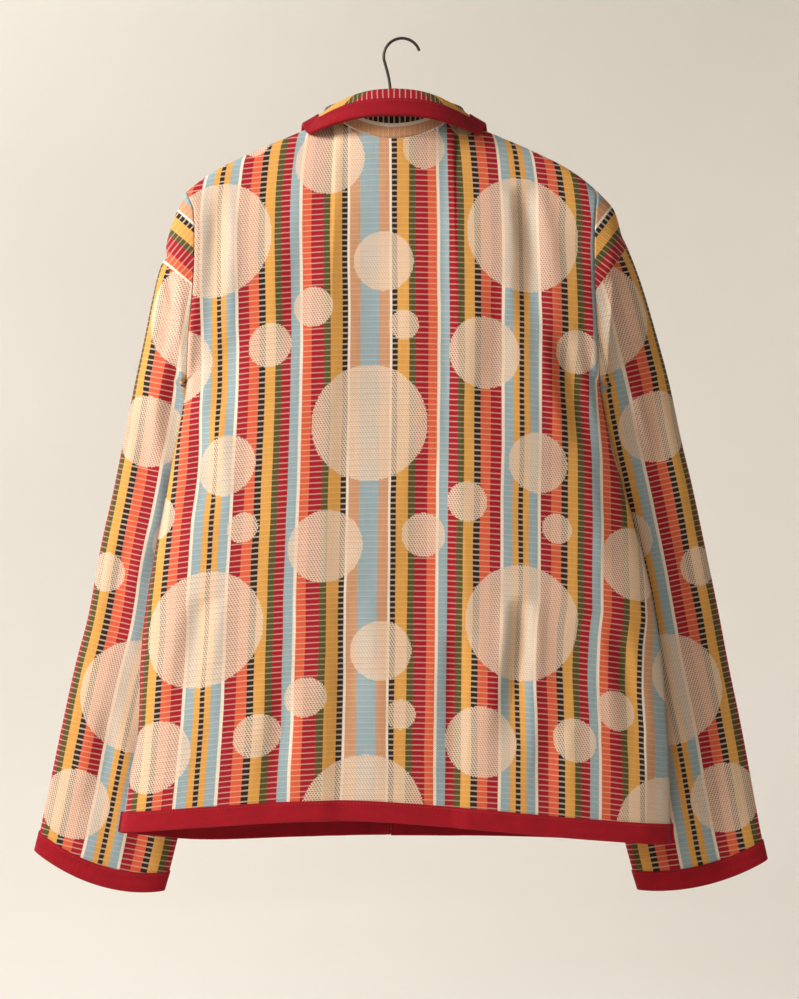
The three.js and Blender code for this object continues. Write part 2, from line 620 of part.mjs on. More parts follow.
// Collar and its fall's binding
const collarTurns = [];
for (let turn = -COLLAR_TURN; turn <= COLLAR_TURN; turn += NECK_TURN) collarTurns.push(turn);
const collarFoot = (u, v, i, j) => (j === 0 ? neckOut(u).multiplyScalar(WALL) : null);
const collarOptions = { side: -1, inside: collarFoot };
jacket.add(mesh("collar", sheet(collarPoint, collarTurns, collarLines, collarOptions), cloth));
const fallFrames = lowEdge(
  collarPoint, COLLAR_TAPE_WIDTH, collarTurns, collarTurns, collarLines, -1, false, () => [],
);
const fallTape = binding(fallFrames, COLLAR_TAPE_WIDTH, false, COLLAR_TAPE_GAP);
jacket.add(mesh("collar_tape", fallTape, tape));

// Buttons on the left front, facing forwards
const disc = new THREE.Shape(ringOf(BUTTON_RADIUS, BUTTON_SIDES));
for (const middle of ringOf(BUTTON_HOLE_OUT, 4)) {
  const hole = ringOf(BUTTON_HOLE, BUTTON_HOLE_SIDES).map((point) => point.add(middle));
  disc.holes.push(new THREE.Path(hole));
}
const buttonGeometry = new THREE.ExtrudeGeometry(disc, { depth: BUTTON_THICK, bevelEnabled: false });
for (let k = 0; k < BUTTON_COUNT; k += 1) {
  const button = mesh(`button_${k + 1}`, buttonGeometry, horn);
  const drop = FIRST_BUTTON_DROP + BUTTON_PITCH * k;
  button.position.set(BUTTON_X, buttonSeat(drop), -drop);
  button.rotation.x = -Math.PI / 2;
  jacket.add(button);
}

// Depth at which a button just clears the left front behind it
function buttonSeat(drop) {
  let seat = 0;
  for (const level of levels) {
    const point = leftFront(BUTTON_X, level);
    if (Math.abs(point.z + drop) < BUTTON_PITCH / 3) seat = Math.max(seat, point.y);
  }
  return seat + TAPE + 2 * SEAM;
}

// Hanger: one wire from the hook's end over the hook, down the neck and round the triangle,
// ending in turns wound about the neck
class Route extends THREE.Curve {
  constructor(points) {
    super();
    this.points = points;
  }

  getPoint(t) {
    const place = clamp(t, 0, 1) * (this.points.length - 1);
    const i = Math.min(Math.floor(place), this.points.length - 2);
    return this.points[i].clone().lerp(this.points[i + 1], place - i);
  }

  getPointAt(t) {
    return this.getPoint(t);
  }

  getTangent(t) {
    const reach = 0.5 / (this.points.length - 1);
    return this.getPoint(Math.min(t + reach, 1)).sub(this.getPoint(Math.max(t - reach, 0))).normalize();
  }

  getTangentAt(t) {
    return this.getTangent(t);
  }
}

// The wire between the hook and the apex, by its place to the right and its drop
const neckWire = [
  { x: -15, drop: 32 },
  { x: -13, drop: 41 },
  { x: NECK_WIRE_X, drop: 50 },
  { x: NECK_WIRE_X, drop: APEX_DROP - 3 },
  { x: NECK_WIRE_X - 1, drop: APEX_DROP },
  { x: NECK_WIRE_X - 4, drop: APEX_DROP + 2.6 },
];

const polar = (degrees, radius) => {
  const angle = THREE.MathUtils.degToRad(degrees);
  return vec(radius * Math.cos(angle), 0, radius * Math.sin(angle));
};

// Arm and bend of one side, from the neck down: side is -1 on the left and 1 on the right
function hangerArm(side) {
  const arm = ARM_REACHES.map((reach) => {
    const point = topEdge(-1, CENTRE_X + side * (NECK_HALF + reach));
    return vec(point.x, 0, point.z - ARM_BELOW);
  });
  const centre = arm.at(-1).clone().add(vec(-side * BEND_SHIFT, 0, -BEND_RADIUS));
  arm.pop();
  const bend = spread(BEND_START, BEND_END, BEND_STEPS).map((degrees) => {
    const turned = side < 0 ? degrees : 180 - degrees;
    return polar(turned, BEND_RADIUS).add(centre);
  });
  return [...arm, ...bend];
}

const hookCentre = vec(0, 0, WIRE / 2 - HOOK_RADIUS);
const hook = spread(HOOK_TIP, HOOK_END, HOOK_STEPS).map((a) => polar(a, HOOK_RADIUS).add(hookCentre));
const leftArm = hangerArm(-1);
const rightArm = hangerArm(1);
for (const point of rightArm) point.z += leftArm.at(-1).z - rightArm.at(-1).z;
const twist = spread(0, TWIST_TURNS, TWIST_TURNS * TWIST_STEPS).map((turn) => {
  const angle = 2 * Math.PI * turn;
  return vec(
    NECK_WIRE_X + TWIST_RADIUS * Math.cos(angle),
    TWIST_RADIUS * Math.sin(angle),
    TWIST_PITCH * turn - APEX_DROP + TWIST_LIFT,
  );
});
const route = [
  ...hook,
  ...neckWire.map(({ x, drop }) => vec(x, 0, -drop)),
  ...leftArm,
  ...rightArm.reverse(),
  ...twist,
];
const wireSection = new THREE.Shape(ringOf(WIRE / 2, WIRE_SIDES));
const wireGeometry = new THREE.ExtrudeGeometry(wireSection, {
  steps: route.length - 1,
  bevelEnabled: false,
  extrudePath: new Route(route),
});
jacket.add(mesh("hanger", wireGeometry, steel));

export default jacket;
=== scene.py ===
# %% [markdown]
# # A work jacket on a wire hanger
# The jacket is seen from its back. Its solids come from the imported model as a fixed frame, and this
# script dresses them: thin cloth shells with folds, a woven finish with stripes and dots, bindings,
# stitches, buttons and the hanger's wire. Sizes are in millimetres until a mesh is made, because a
# tailor thinks in them, and Blender's own unit is the metre.

# %% Tools and the frame
import math

import bpy
import numpy as np
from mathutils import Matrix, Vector


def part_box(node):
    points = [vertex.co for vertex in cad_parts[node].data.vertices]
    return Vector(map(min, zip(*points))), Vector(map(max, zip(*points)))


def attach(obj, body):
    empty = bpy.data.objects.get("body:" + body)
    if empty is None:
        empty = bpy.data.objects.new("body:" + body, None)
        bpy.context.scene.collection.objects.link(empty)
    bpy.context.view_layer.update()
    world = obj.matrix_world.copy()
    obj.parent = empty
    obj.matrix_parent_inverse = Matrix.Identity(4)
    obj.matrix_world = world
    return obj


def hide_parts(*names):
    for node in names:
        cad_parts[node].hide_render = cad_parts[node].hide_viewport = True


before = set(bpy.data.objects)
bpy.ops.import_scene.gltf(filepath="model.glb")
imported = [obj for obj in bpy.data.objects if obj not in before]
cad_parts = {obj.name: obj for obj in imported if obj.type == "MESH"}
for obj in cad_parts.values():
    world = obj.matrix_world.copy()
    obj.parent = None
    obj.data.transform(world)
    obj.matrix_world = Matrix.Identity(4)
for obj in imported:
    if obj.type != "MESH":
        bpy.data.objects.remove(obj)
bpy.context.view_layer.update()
MM = 0.001
print("nodes in the frame:", len(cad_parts))

# %% [markdown]
# ## Camera
# The photograph is taken square on, from about 2.6 m. The lens is worked out from the picture's
# 999 pixels of height, so that a millimetre on the back is about a pixel. A longer lens from
# further away would also fit, but it would flatten the sleeves, which hang behind the back.

# %% Camera
PICTURE_HEIGHT = 999
PIXELS_AT_A_METRE = 2560
SENSOR = 36
EYE = (-0.0025, -2.6, -0.4669)

lens = bpy.data.cameras.new("camera")
lens.sensor_width = SENSOR
lens.lens = SENSOR * PIXELS_AT_A_METRE / PICTURE_HEIGHT
camera = bpy.data.objects.new("camera", lens)
camera.location = EYE
camera.rotation_euler = (math.pi / 2, 0, 0)
bpy.context.scene.collection.objects.link(camera)
bpy.context.scene.camera = camera
print("lens", round(lens.lens, 2), "mm")

# %% [markdown]
# ## Reading tables
# The jacket's shape is kept in short tables, a row for each level or ring that a fitter would
# measure. A smooth curve through the rows gives every place between them. Arrays are read at once,
# so a whole panel is one call.

# %% Table reader


def mix(a, b, t):
    return a + (b - a) * t


def table(keys, rows):
    columns = np.array(rows, float).T
    return dict(zip(keys.split(), columns))


def read(rows, key, column, at):
    """A table's column at the places given, on a smooth curve through its rows."""
    x, y = rows[key], rows[column]
    slope = np.empty_like(y)
    slope[1:-1] = (y[2:] - y[:-2]) / (x[2:] - x[:-2])
    slope[0] = (y[1] - y[0]) / (x[1] - x[0])
    slope[-1] = (y[-1] - y[-2]) / (x[-1] - x[-2])
    place = np.clip(at, x[0], x[-1])
    i = np.clip(np.searchsorted(x, place) - 1, 0, len(x) - 2)
    span = x[i + 1] - x[i]
    t = (place - x[i]) / span
    rise = y[i + 1] - y[i]
    bend = (1 - t) * (slope[i] * span - rise) - t * (slope[i + 1] * span - rise)
    return y[i] + rise * t + t * (1 - t) * bend


def smooth(x, low, high):
    t = np.clip((x - low) / (high - low), 0, 1)
    return t * t * (3 - 2 * t)


def points(x, y, z):
    return np.stack(np.broadcast_arrays(x, y, z), axis=-1).astype(float)


print("tables are read on smooth curves")

# %% [markdown]
# ## Sizes of the garment
# These are the same sizes as the solids have, so each shell lies on its solid's form. +X runs to
# the right seen from behind, +Y from the back to the fronts, and a drop is how far a place lies
# below the inner top of the hook.

# %% Sizes
WALL = 1.8
SEAM = 0.3
TAPE = 0.9
CENTRE_X = -8
TIP = {-1: -218, 1: 198}
TIP_DROP = 154
SHOULDER_DROP = 79.6
SHOULDER_SLOPE = 0.42
SHOULDER_BEND = 6
BACK_CURVE = 2.4
RIDGE = 3
RIDGE_FADE = 4
RIDGE_BLEND = 12
NECK_HALF = 62
NECK_REACH = {-1: 25, 1: 30}
NECK_DIP = {-1: 24, 1: 72}
DRAPE_HEIGHT = 225
FAN_POWER = 1.6
SIDE_HOLD = 8
UNDERARM_LEVEL = 0.295
ARMHOLE_DEPTH = 25
OVERLAP_LIFT = 4.8
LIFT_FROM, LIFT_TO = -86, -38
LOOSE_FROM, LOOSE_TO = 4, 60

body_rows = table(
    "drop left right back front",
    [
        (100, -218, 198, 29, 27),
        (154, -218, 198, 33, 26),
        (172, -211, 196, 35, 25),
        (200, -209, 194, 37, 25),
        (250, -210, 194, 39, 25),
        (300, -215, 197, 41, 26),
        (350, -219, 201, 42, 27),
        (410, -230, 213, 43, 28),
        (480, -243, 233, 43, 29),
        (550, -256, 251, 42, 29),
        (620, -265, 263, 41, 30),
        (700, -268, 270, 39, 30),
        (750, -277, 272, 38, 31),
        (820, -288, 273, 36, 32),
    ],
)
hem_rows = table(
    "x back front",
    [
        (-288, 804, 804),
        (-206, 796, 813),
        (-108, 789, 812),
        (-35, 788.5, 811),
        (78, 797, 811),
        (159, 805, 812),
        (273, 816, 816),
    ],
)
print("body levels:", len(body_rows["drop"]))

# %% [markdown]
# ## Folds
# A hanging coat breaks into a few long soft folds: below the shoulder tips, beside the shoulder
# blades, and up from the hem. Each row places one. A trough has a soft ridge on each side,
# where the cloth that it takes up goes, and it fades out towards its ends. Simulated cloth would
# find its own folds and lose these places, so they are modelled.

# %% Folds
FOLD_COLUMNS = "x drop foot_x foot_drop wide deep"

back_folds = table(
    FOLD_COLUMNS,
    [
        (-190, 150, -194, 312, 11, 7.5),
        (-172, 300, -182, 402, 13, 2.5),
        (-199, 372, -207, 488, 14, 6.5),
        (-236, 470, -246, 560, 12, 3),
        (-203, 566, -222, 708, 14, 5.5),
        (-262, 700, -276, 775, 9, 5),
        (-118, 640, -134, 790, 13, 3),
        (-96, 170, -104, 330, 15, 2.2),
        (-20, 180, -24, 420, 22, 1.8),
        (-52, 560, -60, 785, 17, 2.4),
        (24, 420, 20, 600, 19, 2),
        (60, 600, 54, 790, 15, 2.8),
        (126, 150, 130, 300, 12, 6),
        (92, 240, 98, 420, 15, 2.4),
        (160, 296, 186, 420, 12, 7.5),
        (206, 430, 228, 560, 13, 3.5),
        (118, 565, 112, 715, 11, 6),
        (150, 690, 146, 800, 13, 2.5),
        (222, 600, 236, 760, 11, 3.4),
        (255, 690, 262, 812, 8, 4),
    ],
)
front_folds = table(
    FOLD_COLUMNS,
    [
        (-176, 200, -170, 345, 12, 6),
        (-120, 250, -112, 420, 14, 3),
        (-190, 380, -204, 500, 13, 4.5),
        (-150, 500, -170, 668, 14, 5.5),
        (-88, 600, -96, 800, 15, 3),
        (-228, 640, -250, 790, 12, 4),
        (142, 220, 151, 368, 12, 6),
        (96, 300, 92, 470, 14, 3),
        (176, 400, 196, 520, 13, 4.5),
        (148, 540, 164, 712, 14, 5.5),
        (82, 620, 86, 800, 14, 3),
        (220, 650, 238, 800, 12, 4),
    ],
)
RIDGE_SHARE = 0.38
RIDGE_PLACE = 1.75
RIDGE_WIDTH = 0.7
WANDER = 2.5
NARROW_TOP, SPREAD = 0.8, 0.35


def fold_depth(folds, x, drop):
    """How far the folds take the cloth in at the places given; on a ridge it is negative."""
    total = np.zeros(np.broadcast(x, drop).shape)
    for k, (start, top, end, foot, wide, deep) in enumerate(zip(*folds.values())):
        t = np.clip((drop - top) / (foot - top), 0, 1)
        middle = mix(start, end, t) + WANDER * np.sin(5 * t + 2 * k)
        off = (x - middle) / (wide * (NARROW_TOP + SPREAD * t))
        trough = np.exp(-off * off)
        ridge = np.exp(-(((abs(off) - RIDGE_PLACE) / RIDGE_WIDTH) ** 2))
        fade = np.sin(math.pi * t ** (0.75 + 0.25 * math.sin(k))) ** 0.8
        total += deep * fade * (trough - RIDGE_SHARE * ridge)
    return total


def rumple(x, drop, size=1.0):
    """Small unevenness of cloth that has been worn and hung up again."""
    a = np.sin(x / 31 + drop / 83) * np.sin(drop / 57 - x / 140 + 1)
    b = np.sin(x / 17 - drop / 39 + 2) * np.sin(drop / 29 + x / 61)
    return size * (0.55 * a + 0.28 * b)


print("folds on the back:", len(back_folds["x"]), "and on the fronts:", len(front_folds["x"]))

# %% [markdown]
# ## The body panels
# The back and each front hang from the shoulder line. A place is named by where it starts on that
# line and by its level, from 0 at the top to 1 at the hem. Towards the sides the panels spread with
# the flare of the jacket.

# %% Body panels


def neck_point(turn):
    """Points of the neck edge; the turn is 0 at the centre back, in degrees."""
    angle = np.radians(turn)
    to_back = np.cos(angle)
    behind = to_back > 0
    reach = np.where(behind, NECK_REACH[-1], NECK_REACH[1])
    dip = np.where(behind, NECK_DIP[-1], NECK_DIP[1])
    side = np.where(behind, 1, -1)
    return points(
        CENTRE_X + NECK_HALF * np.sin(angle),
        -side * SEAM / 2 - reach * to_back,
        -SHOULDER_DROP - dip * to_back**2,
    )


def neck_out(turn):
    angle = np.radians(turn)
    reach = np.where(np.cos(angle) > 0, NECK_REACH[-1], NECK_REACH[1])
    way = points(np.sin(angle) / NECK_HALF, -np.cos(angle) / reach, 0)
    return way / np.linalg.norm(way, axis=-1, keepdims=True)


def overlap_lift(x):
    return OVERLAP_LIFT * smooth(x, LIFT_FROM, LIFT_TO)


def neck_turn(facing, x):
    turn = np.degrees(np.arcsin(np.clip((x - CENTRE_X) / NECK_HALF, -1, 1)))
    return turn if facing < 0 else 180 - turn


def top_edge(facing, x):
    """A panel's upper edge: the neck in the middle and a shoulder on each side."""
    x = np.asarray(x, float)
    off = x - CENTRE_X
    out = np.maximum(abs(off) - NECK_HALF, 0)
    span = np.where(off < 0, CENTRE_X - TIP[-1], TIP[1] - CENTRE_X) - NECK_HALF
    spare = TIP_DROP - SHOULDER_DROP - SHOULDER_SLOPE * span
    drop = SHOULDER_DROP + SHOULDER_SLOPE * out + spare * (out / span) ** SHOULDER_BEND
    shoulder = points(x, facing * SEAM / 2, -drop)
    inside = (abs(off) < NECK_HALF)[..., None]
    return np.where(inside, neck_point(neck_turn(facing, x)), shoulder)


def armhole_depth(level, across=1.0):
    """Depth of the armhole's edge; away from it the lower half is drawn softer."""
    t = np.clip(level / UNDERARM_LEVEL, 0, 1)
    round_off = np.maximum(0, 1 - (2 * t - 1) ** 2)
    power = np.where(t < 0.5, 0.5, mix(1.5, 0.5, smooth(across, 0.92, 1)))
    return ARMHOLE_DEPTH * round_off**power


def body_point(facing, top_x, level, lift=None):
    """Points of the back (facing -1) or of a front (1); lift raises a front over the other."""
    top_x, level = np.broadcast_arrays(np.asarray(top_x, float), np.asarray(level, float))
    column, folds = ("back", back_folds) if facing < 0 else ("front", front_folds)
    left = top_x < CENTRE_X
    tip = np.where(left, TIP[-1], TIP[1])
    top = top_edge(facing, top_x)
    across = np.clip((top_x - CENTRE_X) / (tip - CENTRE_X), 0, 1)
    fan = across**FAN_POWER

    def edge(drop):
        sides = (read(body_rows, "drop", name, drop) for name in ("left", "right"))
        return np.where(left, *sides)

    hem_at_edge = np.where(left, hem_rows[column][0], hem_rows[column][-1])
    x = top_x + (edge(mix(TIP_DROP, hem_at_edge, level)) - tip) * fan
    hem_x = top_x + (edge(hem_at_edge) - tip) * fan
    drop = mix(-top[..., 2], read(hem_rows, "x", column, hem_x), level)
    below = drop + top[..., 2]
    rise = 1 - (1 - np.clip(below / DRAPE_HEIGHT, 0, 1)) ** 3
    seam = np.maximum(armhole_depth(level, across), SEAM / 2)
    back_curve = np.sqrt(np.maximum(0, 1 - across**BACK_CURVE))
    curve = back_curve if facing < 0 else 1 - across**2
    hold = across**SIDE_HOLD
    start = mix(facing * top[..., 1], seam, hold)
    on_shoulder = np.clip((abs(top_x - CENTRE_X) - NECK_HALF) / RIDGE_BLEND + 1, 0, 1)
    ridge = RIDGE * on_shoulder * (1 - hold) * (1 - np.exp(-below / RIDGE_FADE))
    loose = (1 - hold) * smooth(below, LOOSE_FROM, LOOSE_TO)
    give = loose * (rumple(x, drop) - fold_depth(folds, x, drop))
    full = read(body_rows, "drop", column, drop)
    y = facing * (mix(start, mix(seam, full, curve), rise) + ridge + give)
    return points(x, y + (0 if lift is None else lift(top_x)), -drop)


print("neck edge at the centre back:", neck_point(0).round(1))

# %% [markdown]
# ## The sleeves
# A sleeve hangs flattened from its armhole. Each row of its table is a ring: where its outer and
# inner edges are, how far forward it hangs, its half depth, and how far its back side hangs down.
# Near the armhole the rings pass over into the hole's own outline.

# %% Sleeves
SLEEVE_COLUMNS = "part outer_x outer_drop inner_x inner_drop front half tilt"
sleeve_rows = {
    -1: table(
        SLEEVE_COLUMNS,
        [
            (0, -218, 154, -218, 346, 0, 25, 0),
            (0.035, -231, 180, -224, 349, 4, 27, 0),
            (0.075, -240, 207, -220.5, 352, 11, 29, 0),
            (0.1, -239, 217, -219.5, 356, 15, 27, 0),
            (0.125, -247, 229, -217.5, 362, 20, 30, 0),
            (0.18, -256, 261, -214, 375, 28, 29, 0),
            (0.25, -264, 298, -207, 394, 33, 28, 0),
            (0.34, -276, 352, -193, 418, 37, 26, 0),
            (0.43, -287, 405, -188, 447, 41, 25, 0),
            (0.52, -298, 458, -186, 487, 44, 24, 0),
            (0.61, -311, 515, -188, 539, 45, 23, 0),
            (0.71, -324, 586, -190, 616, 46, 21, 2),
            (0.79, -338, 640, -202, 676, 46, 20, 4.5),
            (0.87, -354, 713, -217, 756, 46, 18, 8),
            (0.965, -372, 800, -238, 842, 46, 16, 13),
            (1, -379, 829, -246, 870, 46, 15, 13),
        ],
    ),
    1: table(
        SLEEVE_COLUMNS,
        [
            (0, 198, 154, 201, 346, 0, 25, 0),
            (0.035, 215, 172, 208, 352, 4, 27, 0),
            (0.075, 224, 198, 202.5, 355, 11, 29, 0),
            (0.1, 229, 207, 201, 359, 15, 27, 0),
            (0.125, 237, 225, 200, 365, 20, 30, 0),
            (0.18, 247, 250, 197, 378, 28, 29, 0),
            (0.25, 260, 292, 192, 397, 33, 28, 0),
            (0.34, 275, 346, 183, 418, 37, 26, 0),
            (0.43, 288, 405, 182, 447, 41, 25, 0),
            (0.52, 300, 454, 182, 487, 44, 24, 0),
            (0.61, 313, 515, 184, 539, 45, 23, 0),
            (0.71, 327, 582, 188, 616, 46, 21, 1.5),
            (0.79, 338, 640, 200, 676, 46, 20, 3.5),
            (0.87, 352, 708, 214, 756, 46, 18, 6),
            (0.965, 370, 806, 236, 842, 46, 16, 9),
            (1, 377, 838, 244, 869, 46, 15, 9),
        ],
    ),
}
sleeve_folds = {
    -1: table(
        FOLD_COLUMNS,
        [
            (-236, 236, -238, 330, 8, 6),
            (-222, 300, -236, 420, 10, 4),
            (-262, 350, -270, 470, 9, 3),
            (-228, 430, -246, 560, 12, 4.5),
            (-284, 500, -300, 640, 11, 3.5),
            (-232, 600, -250, 720, 11, 4),
            (-300, 680, -318, 800, 12, 3.5),
            (-262, 740, -272, 850, 10, 3),
        ],
    ),
    1: table(
        FOLD_COLUMNS,
        [
            (222, 226, 226, 330, 8, 6),
            (214, 300, 236, 430, 10, 4),
            (254, 330, 270, 470, 10, 3.5),
            (226, 440, 250, 580, 12, 4.5),
            (288, 500, 306, 640, 11, 3.5),
            (240, 590, 254, 720, 11, 4),
            (300, 680, 320, 800, 12, 3.5),
            (262, 740, 274, 850, 10, 3),
        ],
    ),
}
CAP_BLEND = 0.1
# The cap's fold: from the notch in the outline to the armhole seam, as x and drop of both ends
cap_fold = {-1: ((-245, 224), (-210, 253)), 1: ((231, 208), (205, 243))}
CAP_STEP, CAP_EDGE = 4, 1.6
CAP_WIDE = 16
CAP_FROM, CAP_TO = 0.2, 0.34
SLEEVE_RUMPLE = 1.2


def beside_fold(side, x, drop):
    """How far a place lies above the cap's fold."""
    (x0, drop0), (x1, drop1) = cap_fold[side]
    slope = (drop1 - drop0) / (x1 - x0)
    return (drop0 + slope * (x - x0) - drop) / math.hypot(1, slope)


def sleeve_point(side, turn, part):
    """Points of a sleeve: the turn goes round it from its outer edge, and part goes down it."""
    turn, part = np.broadcast_arrays(np.asarray(turn, float), np.asarray(part, float))
    rows = sleeve_rows[side]
    angle = np.radians(turn)

    def oval(at):
        value = {name: read(rows, "part", name, at) for name in rows if name != "part"}
        t = (1 - np.cos(angle)) / 2
        lean = value["tilt"] * np.sin(angle) * abs(np.sin(angle))
        return points(
            mix(value["outer_x"], value["inner_x"], t),
            value["front"] - value["half"] * np.sin(angle),
            -mix(value["outer_drop"], value["inner_drop"], t) - lean,
        )

    point = oval(part)
    away = np.maximum(0, 1 - part / CAP_BLEND)[..., None]
    level = UNDERARM_LEVEL * (1 - np.cos(angle)) / 2
    hole = np.where(
        (np.sin(angle) > 0)[..., None],
        body_point(-1, TIP[side], level),
        body_point(1, TIP[side], level),
    )
    hole[..., 1] = np.where(abs(np.sin(angle)) < 1e-4, 0, hole[..., 1])
    hole[..., 0] += side * SEAM
    point = point + (hole - oval(np.zeros_like(part))) * away**2
    x, drop = point[..., 0], -point[..., 2]
    loose = abs(np.sin(angle)) * smooth(part, 0.0, 0.06)
    above = beside_fold(side, x, drop)
    puff = CAP_STEP * np.exp(-abs(above) / CAP_WIDE) * np.tanh(above / CAP_EDGE)
    near = 1 - smooth(part, CAP_FROM, CAP_TO)
    give = rumple(x, drop, SLEEVE_RUMPLE) - fold_depth(sleeve_folds[side], x, drop) + puff * near
    point[..., 1] -= np.sign(np.sin(angle)) * loose * give
    return point


print("left cuff, outer edge:", sleeve_point(-1, 0, 1).round(1))

# %% [markdown]
# ## The collar
# The collar is one strip: it stands up from the neck edge, rolls over and falls to its bound edge.
# Across it, 0 is the stand's foot and 1 is the fall's edge, and the turn goes round the neck.

# %% Collar
collar_rows = table(
    "turn roll_out roll_drop edge_x edge_y edge_drop",
    [
        (0, 8, 54, 0, -44, 82),
        (20, 8, 55.5, 22, -43, 82.5),
        (40, 8, 60, 45, -38, 85.5),
        (60, 8, 66, 67, -28, 90.5),
        (80, 9, 68.5, 87, -11, 95),
        (90, 9, 70, 92, -1, 85.5),
        (100, 9, 73, 94, 11, 97),
        (110, 9, 79, 93, 21, 115),
        (130, 8, 98, 84, 28, 158),
        (150, 7, 120, 62, 36, 196),
        (160, 7, 131, 48, 39, 212),
    ],
)
ROLL_RADIUS = 3.4
ROLL_START, ROLL_END = 0.4, 0.6
TAPE_START = 0.8
COLLAR_TURN = 160
COLLAR_LIFT = 0.4
COLLAR_TAPE_WIDTH = 18
COLLAR_TAPE_GAP = 0.5


def collar_point(turn, across):
    turn, across = np.broadcast_arrays(np.asarray(turn, float), np.asarray(across, float))
    out = neck_out(turn)
    foot = neck_point(turn)
    lifted = (foot[..., 0] < CENTRE_X) & (foot[..., 1] > 0)
    foot[..., 1] += np.where(lifted, overlap_lift(foot[..., 0]), 0)
    value = {name: read(collar_rows, "turn", name, abs(turn)) for name in collar_rows}
    centre = foot + out * (value["roll_out"] - ROLL_RADIUS)[..., None]
    centre[..., 2] = -value["roll_drop"] - ROLL_RADIUS

    def on_roll(t):
        angle = math.pi * t
        point = centre - out * (ROLL_RADIUS * np.cos(angle))[..., None]
        point[..., 2] += ROLL_RADIUS * np.sin(angle)
        return point

    stand_foot = foot - out * WALL
    stand_foot[..., 2] += COLLAR_LIFT
    stand = mix(stand_foot, on_roll(np.zeros_like(turn)), (across / ROLL_START)[..., None])
    roll = on_roll(np.clip((across - ROLL_START) / (ROLL_END - ROLL_START), 0, 1))
    edge = points(
        CENTRE_X + np.sign(turn) * value["edge_x"], value["edge_y"], -value["edge_drop"]
    )
    start = on_roll(np.ones_like(turn))
    tape_start = 1 - COLLAR_TAPE_WIDTH / np.linalg.norm(edge - start, axis=-1)
    upper = tape_start * (across - ROLL_END) / (TAPE_START - ROLL_END)
    lower = mix(tape_start, 1, (across - TAPE_START) / (1 - TAPE_START))
    fall = mix(start, edge, np.where(across < TAPE_START, upper, lower)[..., None])
    is_stand = (across < ROLL_START)[..., None]
    is_roll = (across <= ROLL_END)[..., None]
    return np.where(is_stand, stand, np.where(is_roll, roll, fall))


print("collar's edge at the centre back:", collar_point(0, 1).round(1))

# %% [markdown]
# ## Making cloth from a surface
# Each panel is a closed thin shell: a fine grid on its outer face, the same grid moved in by the
# cloth's thickness, and narrow faces round the edges. The move is mitred at the seams, so that two
# panels meet along one line. Solidify would also give a thickness, but it doesn't know the seams.

# %% Shells
STEP = 0.004
MITRE_LIMIT = 2.6
ACROSS = np.array([1.0, 0, 0])
DEEP = np.array([0, 1.0, 0])


def unit(v):
    return v / np.maximum(np.linalg.norm(v, axis=-1, keepdims=True), 1e-12)


def limits_of(us, vs, closed=False):
    """The first and last places of a surface; a tube has no end in its first direction."""
    across = (-np.inf, np.inf) if closed else (us[0], us[-1])
    return (*across, vs[0], vs[-1], STEP * (us[-1] - us[0]), STEP * (vs[-1] - vs[0]))


def way_out(surface, u, v, limits, side, keep=()):
    """The way out of the cloth, per millimetre of its thickness; keep pairs a mask and an axis."""
    u0, u1, v0, v1, du, dv = limits
    along = surface(np.minimum(u + du, u1), v) - surface(np.maximum(u - du, u0), v)
    down = surface(u, np.minimum(v + dv, v1)) - surface(u, np.maximum(v - dv, v0))
    way = side * unit(np.cross(along, down))
    for mask, axis in keep:
        way = np.where(mask[..., None], way - (way @ axis)[..., None] * axis, way)
    way = way / np.maximum((way**2).sum(-1, keepdims=True), 1e-4)
    long = np.linalg.norm(way, axis=-1, keepdims=True)
    return way * np.minimum(1, MITRE_LIMIT / np.maximum(long, 1e-9))


def make_piece(name, place, corners, maps, flat=None):
    """An object from points in millimetres, faces of four corners, and maps for each corner."""
    a, b, c, d = (place[corners[:, k]] for k in range(4))
    volume = (np.cross(b, c) * a).sum() + (np.cross(c, d) * a).sum()
    if volume < 0:
        corners = corners[:, ::-1]
        maps = {key: value[:, ::-1] for key, value in maps.items()}
    mesh = bpy.data.meshes.new(name)
    mesh.from_pydata((place * MM).tolist(), [], corners.tolist())
    for key, value in maps.items():
        layer = mesh.uv_layers.new(name=key)
        layer.uv.foreach_set("vector", value.astype(np.float32).ravel())
    soft = np.ones(len(corners), bool) if flat is None else ~flat
    mesh.polygons.foreach_set("use_smooth", soft)
    mesh.update()
    piece = bpy.data.objects.new(name, mesh)
    bpy.context.scene.collection.objects.link(piece)
    print(name, len(corners), "faces")
    return piece


def quads(*corners):
    return np.stack([np.stack(np.broadcast_arrays(*c), -1) for c in corners], 1)


